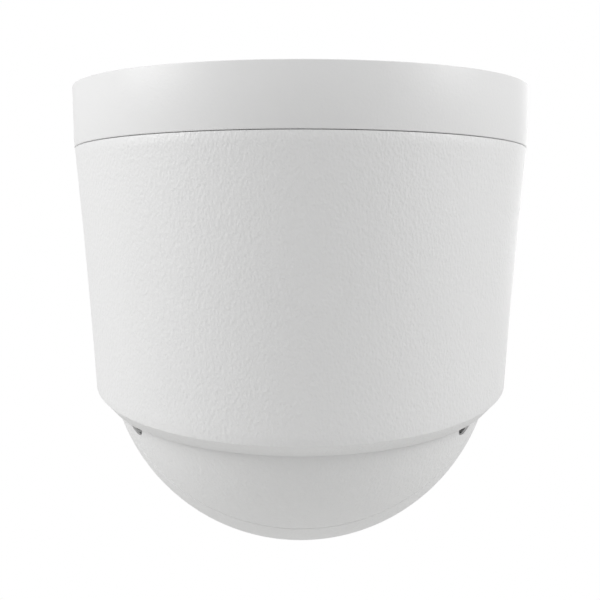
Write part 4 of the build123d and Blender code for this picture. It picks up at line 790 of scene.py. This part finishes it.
flat_turn = math.degrees(math.asin(FRONT_FLAT / BALL_R))
ledge_r = WINDOW_R - WINDOW_LEDGE
front = [(part_r, -SPLIT + PART_GAP)] + arc_points(BALL_R, -split_out + groove_turn, flat_turn, 84)
front += [
    (WINDOW_R + BEZEL_W, FRONT_FLAT), (WINDOW_R + BEZEL_W, BEZEL_LOW),
    (WINDOW_R + 0.3 * MM, BEZEL_LOW), (WINDOW_R + 0.3 * MM, RECESS_Z), (ledge_r, RECESS_Z),
    (ledge_r, RECESS_Z - 2 * MM), (WINDOW_R + 2 * MM, RECESS_Z - 2 * MM),
]
inner_turn = math.degrees(math.acos((WINDOW_R + 2 * MM) / inner_r))
front += list(reversed(arc_points(inner_r, -split_in, inner_turn, 40)))
bm = spin_profile(front)
round_edges(bm, 0.3 * MM, segments=3)
slice_flats(bm)
bmesh.ops.transform(bm, matrix=LENS, verts=bm.verts)
finish_piece("front_cover", bm, "white_shell", "tilt", ["ball_front_shell"])

# %% [markdown]
# ## Screw pockets in the rear cover
# Two round pockets in the sides of the rear cover lead to its screws. They read as small dark notches
# where the ball meets the can. A cutter cylinder takes them out of the shell with a Boolean, and a short
# cup behind each hole closes it, with its rim kept just below the ball's surface. The cups are dark
# plastic as painted shade: the dark colour stands in for the shadow deep in the pockets of the white cover.

# %% Pockets
screw_low, screw_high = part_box("cover_screws")
POCKET_R = 4.6 * MM
POCKET_Y = (screw_low.y + screw_high.y) / 2
POCKET_Z = (screw_low.z + screw_high.z) / 2
POCKET_FLOOR = 64.0 * MM


def pocket_bar(radius, inner, outer, segments=48):
    """A bar through both pockets, as a mesh of two cylinders along X."""
    bm = bmesh.new()
    for side in (-1, 1):
        middle = Matrix.Translation((side * (inner + outer) / 2, POCKET_Y, POCKET_Z))
        turn = Matrix.Rotation(math.pi / 2, 4, "Y")
        bmesh.ops.create_cone(bm, cap_ends=True, segments=segments, radius1=radius, radius2=radius,
                              depth=outer - inner, matrix=middle @ turn)
    return bm


def apply_cut(piece, cutter_bm):
    """Cut a drawn shape out of a piece and keep the result as its mesh."""
    mesh = bpy.data.meshes.new("cutter")
    cutter_bm.to_mesh(mesh)
    cutter_bm.free()
    cutter = bpy.data.objects.new("cutter", mesh)
    scene.collection.objects.link(cutter)
    cut = piece.modifiers.new("cut", "BOOLEAN")
    cut.object = cutter
    cut.solver = "EXACT"
    bpy.context.view_layer.update()
    graph = bpy.context.evaluated_depsgraph_get()
    made = bpy.data.meshes.new_from_object(piece.evaluated_get(graph), depsgraph=graph)
    piece.modifiers.clear()
    piece.data = made
    bpy.data.objects.remove(cutter)
    piece.data.shade_smooth()
    piece.data.set_sharp_from_angle(angle=math.radians(32))


apply_cut(rear_shell, pocket_bar(POCKET_R, 58 * MM, 90 * MM))
bm = bmesh.new()
for side in (-1, 1):
    cup = spin_profile([
        (0, 0), (POCKET_R + 0.9 * MM, 0), (POCKET_R + 0.9 * MM, 4.2 * MM), (POCKET_R, 4.2 * MM),
        (POCKET_R, 0.8 * MM), (0, 0.8 * MM)], steps=48)
    place = Matrix.Translation((side * (POCKET_FLOOR - 0.8 * MM), POCKET_Y, POCKET_Z))
    bmesh.ops.transform(cup, matrix=place @ Matrix.Rotation(side * math.pi / 2, 4, "Y"), verts=cup.verts)
    for vert in cup.verts:
        if abs(vert.co.x) > POCKET_FLOOR + 1 * MM:
            reach = vert.co.y ** 2 + (vert.co.z - BALL_Z) ** 2
            vert.co.x = side * math.sqrt((BALL_R - 1.0 * MM) ** 2 - reach)
    mesh = bpy.data.meshes.new("cup")
    cup.to_mesh(mesh)
    cup.free()
    bm.from_mesh(mesh)
    bpy.data.meshes.remove(mesh)
# The cups' dark plastic is painted shade for the shadow inside the white cover's pockets.
finish_piece("pocket_shade_cups", bm, "dark_plastic", "tilt")

# %% [markdown]
# ## Side caps, bezel and window
# The caps in the ball's flat sides, the ring that clamps the window and the glass itself are all turned
# shapes, each with a small rounded edge that catches the light.

# %% Turned pieces of the ball
boss_in = cap_low.x
rim_r = CAP_R - 0.12 * MM
seat_x = FLAT_X - BALL_WALL
for side, name in ((1, "right"), (-1, "left")):
    cap = [
        (SHAFT_SEAL_R, BUSH_END_X), (SHAFT_SEAL_R, FLAT_X), (rim_r, FLAT_X), (rim_r, seat_x),
        (CAP_SEAT_R, seat_x), (CAP_SEAT_R, seat_x - CAP_STEP), (CAP_BOSS_R, seat_x - CAP_STEP),
        (CAP_BOSS_R, boss_in), (BUSH_BORE_R, boss_in), (BUSH_BORE_R, BUSH_END_X),
    ]
    bm = spin_profile(cap, steps=128)
    round_edges(bm, 0.25 * MM, segments=2)
    place = Matrix.Translation((0, 0, BALL_Z)) @ Matrix.Rotation(side * math.pi / 2, 4, "Y")
    bmesh.ops.transform(bm, matrix=place, verts=bm.verts)
    finish_piece(f"tilt_cap_{name}", bm, "white_shell", "tilt", [f"side_cap_{name}"])

bezel_r = WINDOW_R + BEZEL_W - 0.1 * MM
bezel_top = FRONT_FLAT + BEZEL_PROUD
bezel = [(WINDOW_R, BEZEL_LOW), (WINDOW_R, bezel_top), (bezel_r, bezel_top), (bezel_r, BEZEL_LOW)]
bm = spin_profile(bezel, matrix=LENS)
round_edges(bm, 0.35 * MM, segments=3)
finish_piece("window_ring", bm, "black_plastic", "tilt", ["window_bezel"])

pane_r = WINDOW_R - 0.05 * MM
pane_low = FRONT_FLAT - WINDOW_T
pane_top = FRONT_FLAT - 0.05 * MM
pane = [(0, pane_low), (pane_r, pane_low), (pane_r, pane_top), (0, pane_top)]
bm = spin_profile(pane, matrix=LENS)
round_edges(bm, 0.3 * MM, segments=2)
finish_piece("window_pane", bm, "window_glass", "tilt", ["front_window"])

# %% Floor finish
paper, tree, shader, place = start_finish("matt studio paper", "D4D4D3", 0.9)
vary_colour(tree, shader, place, 60.0, "D2D2D1", "D6D6D5")
floor.data.materials.append(paper)
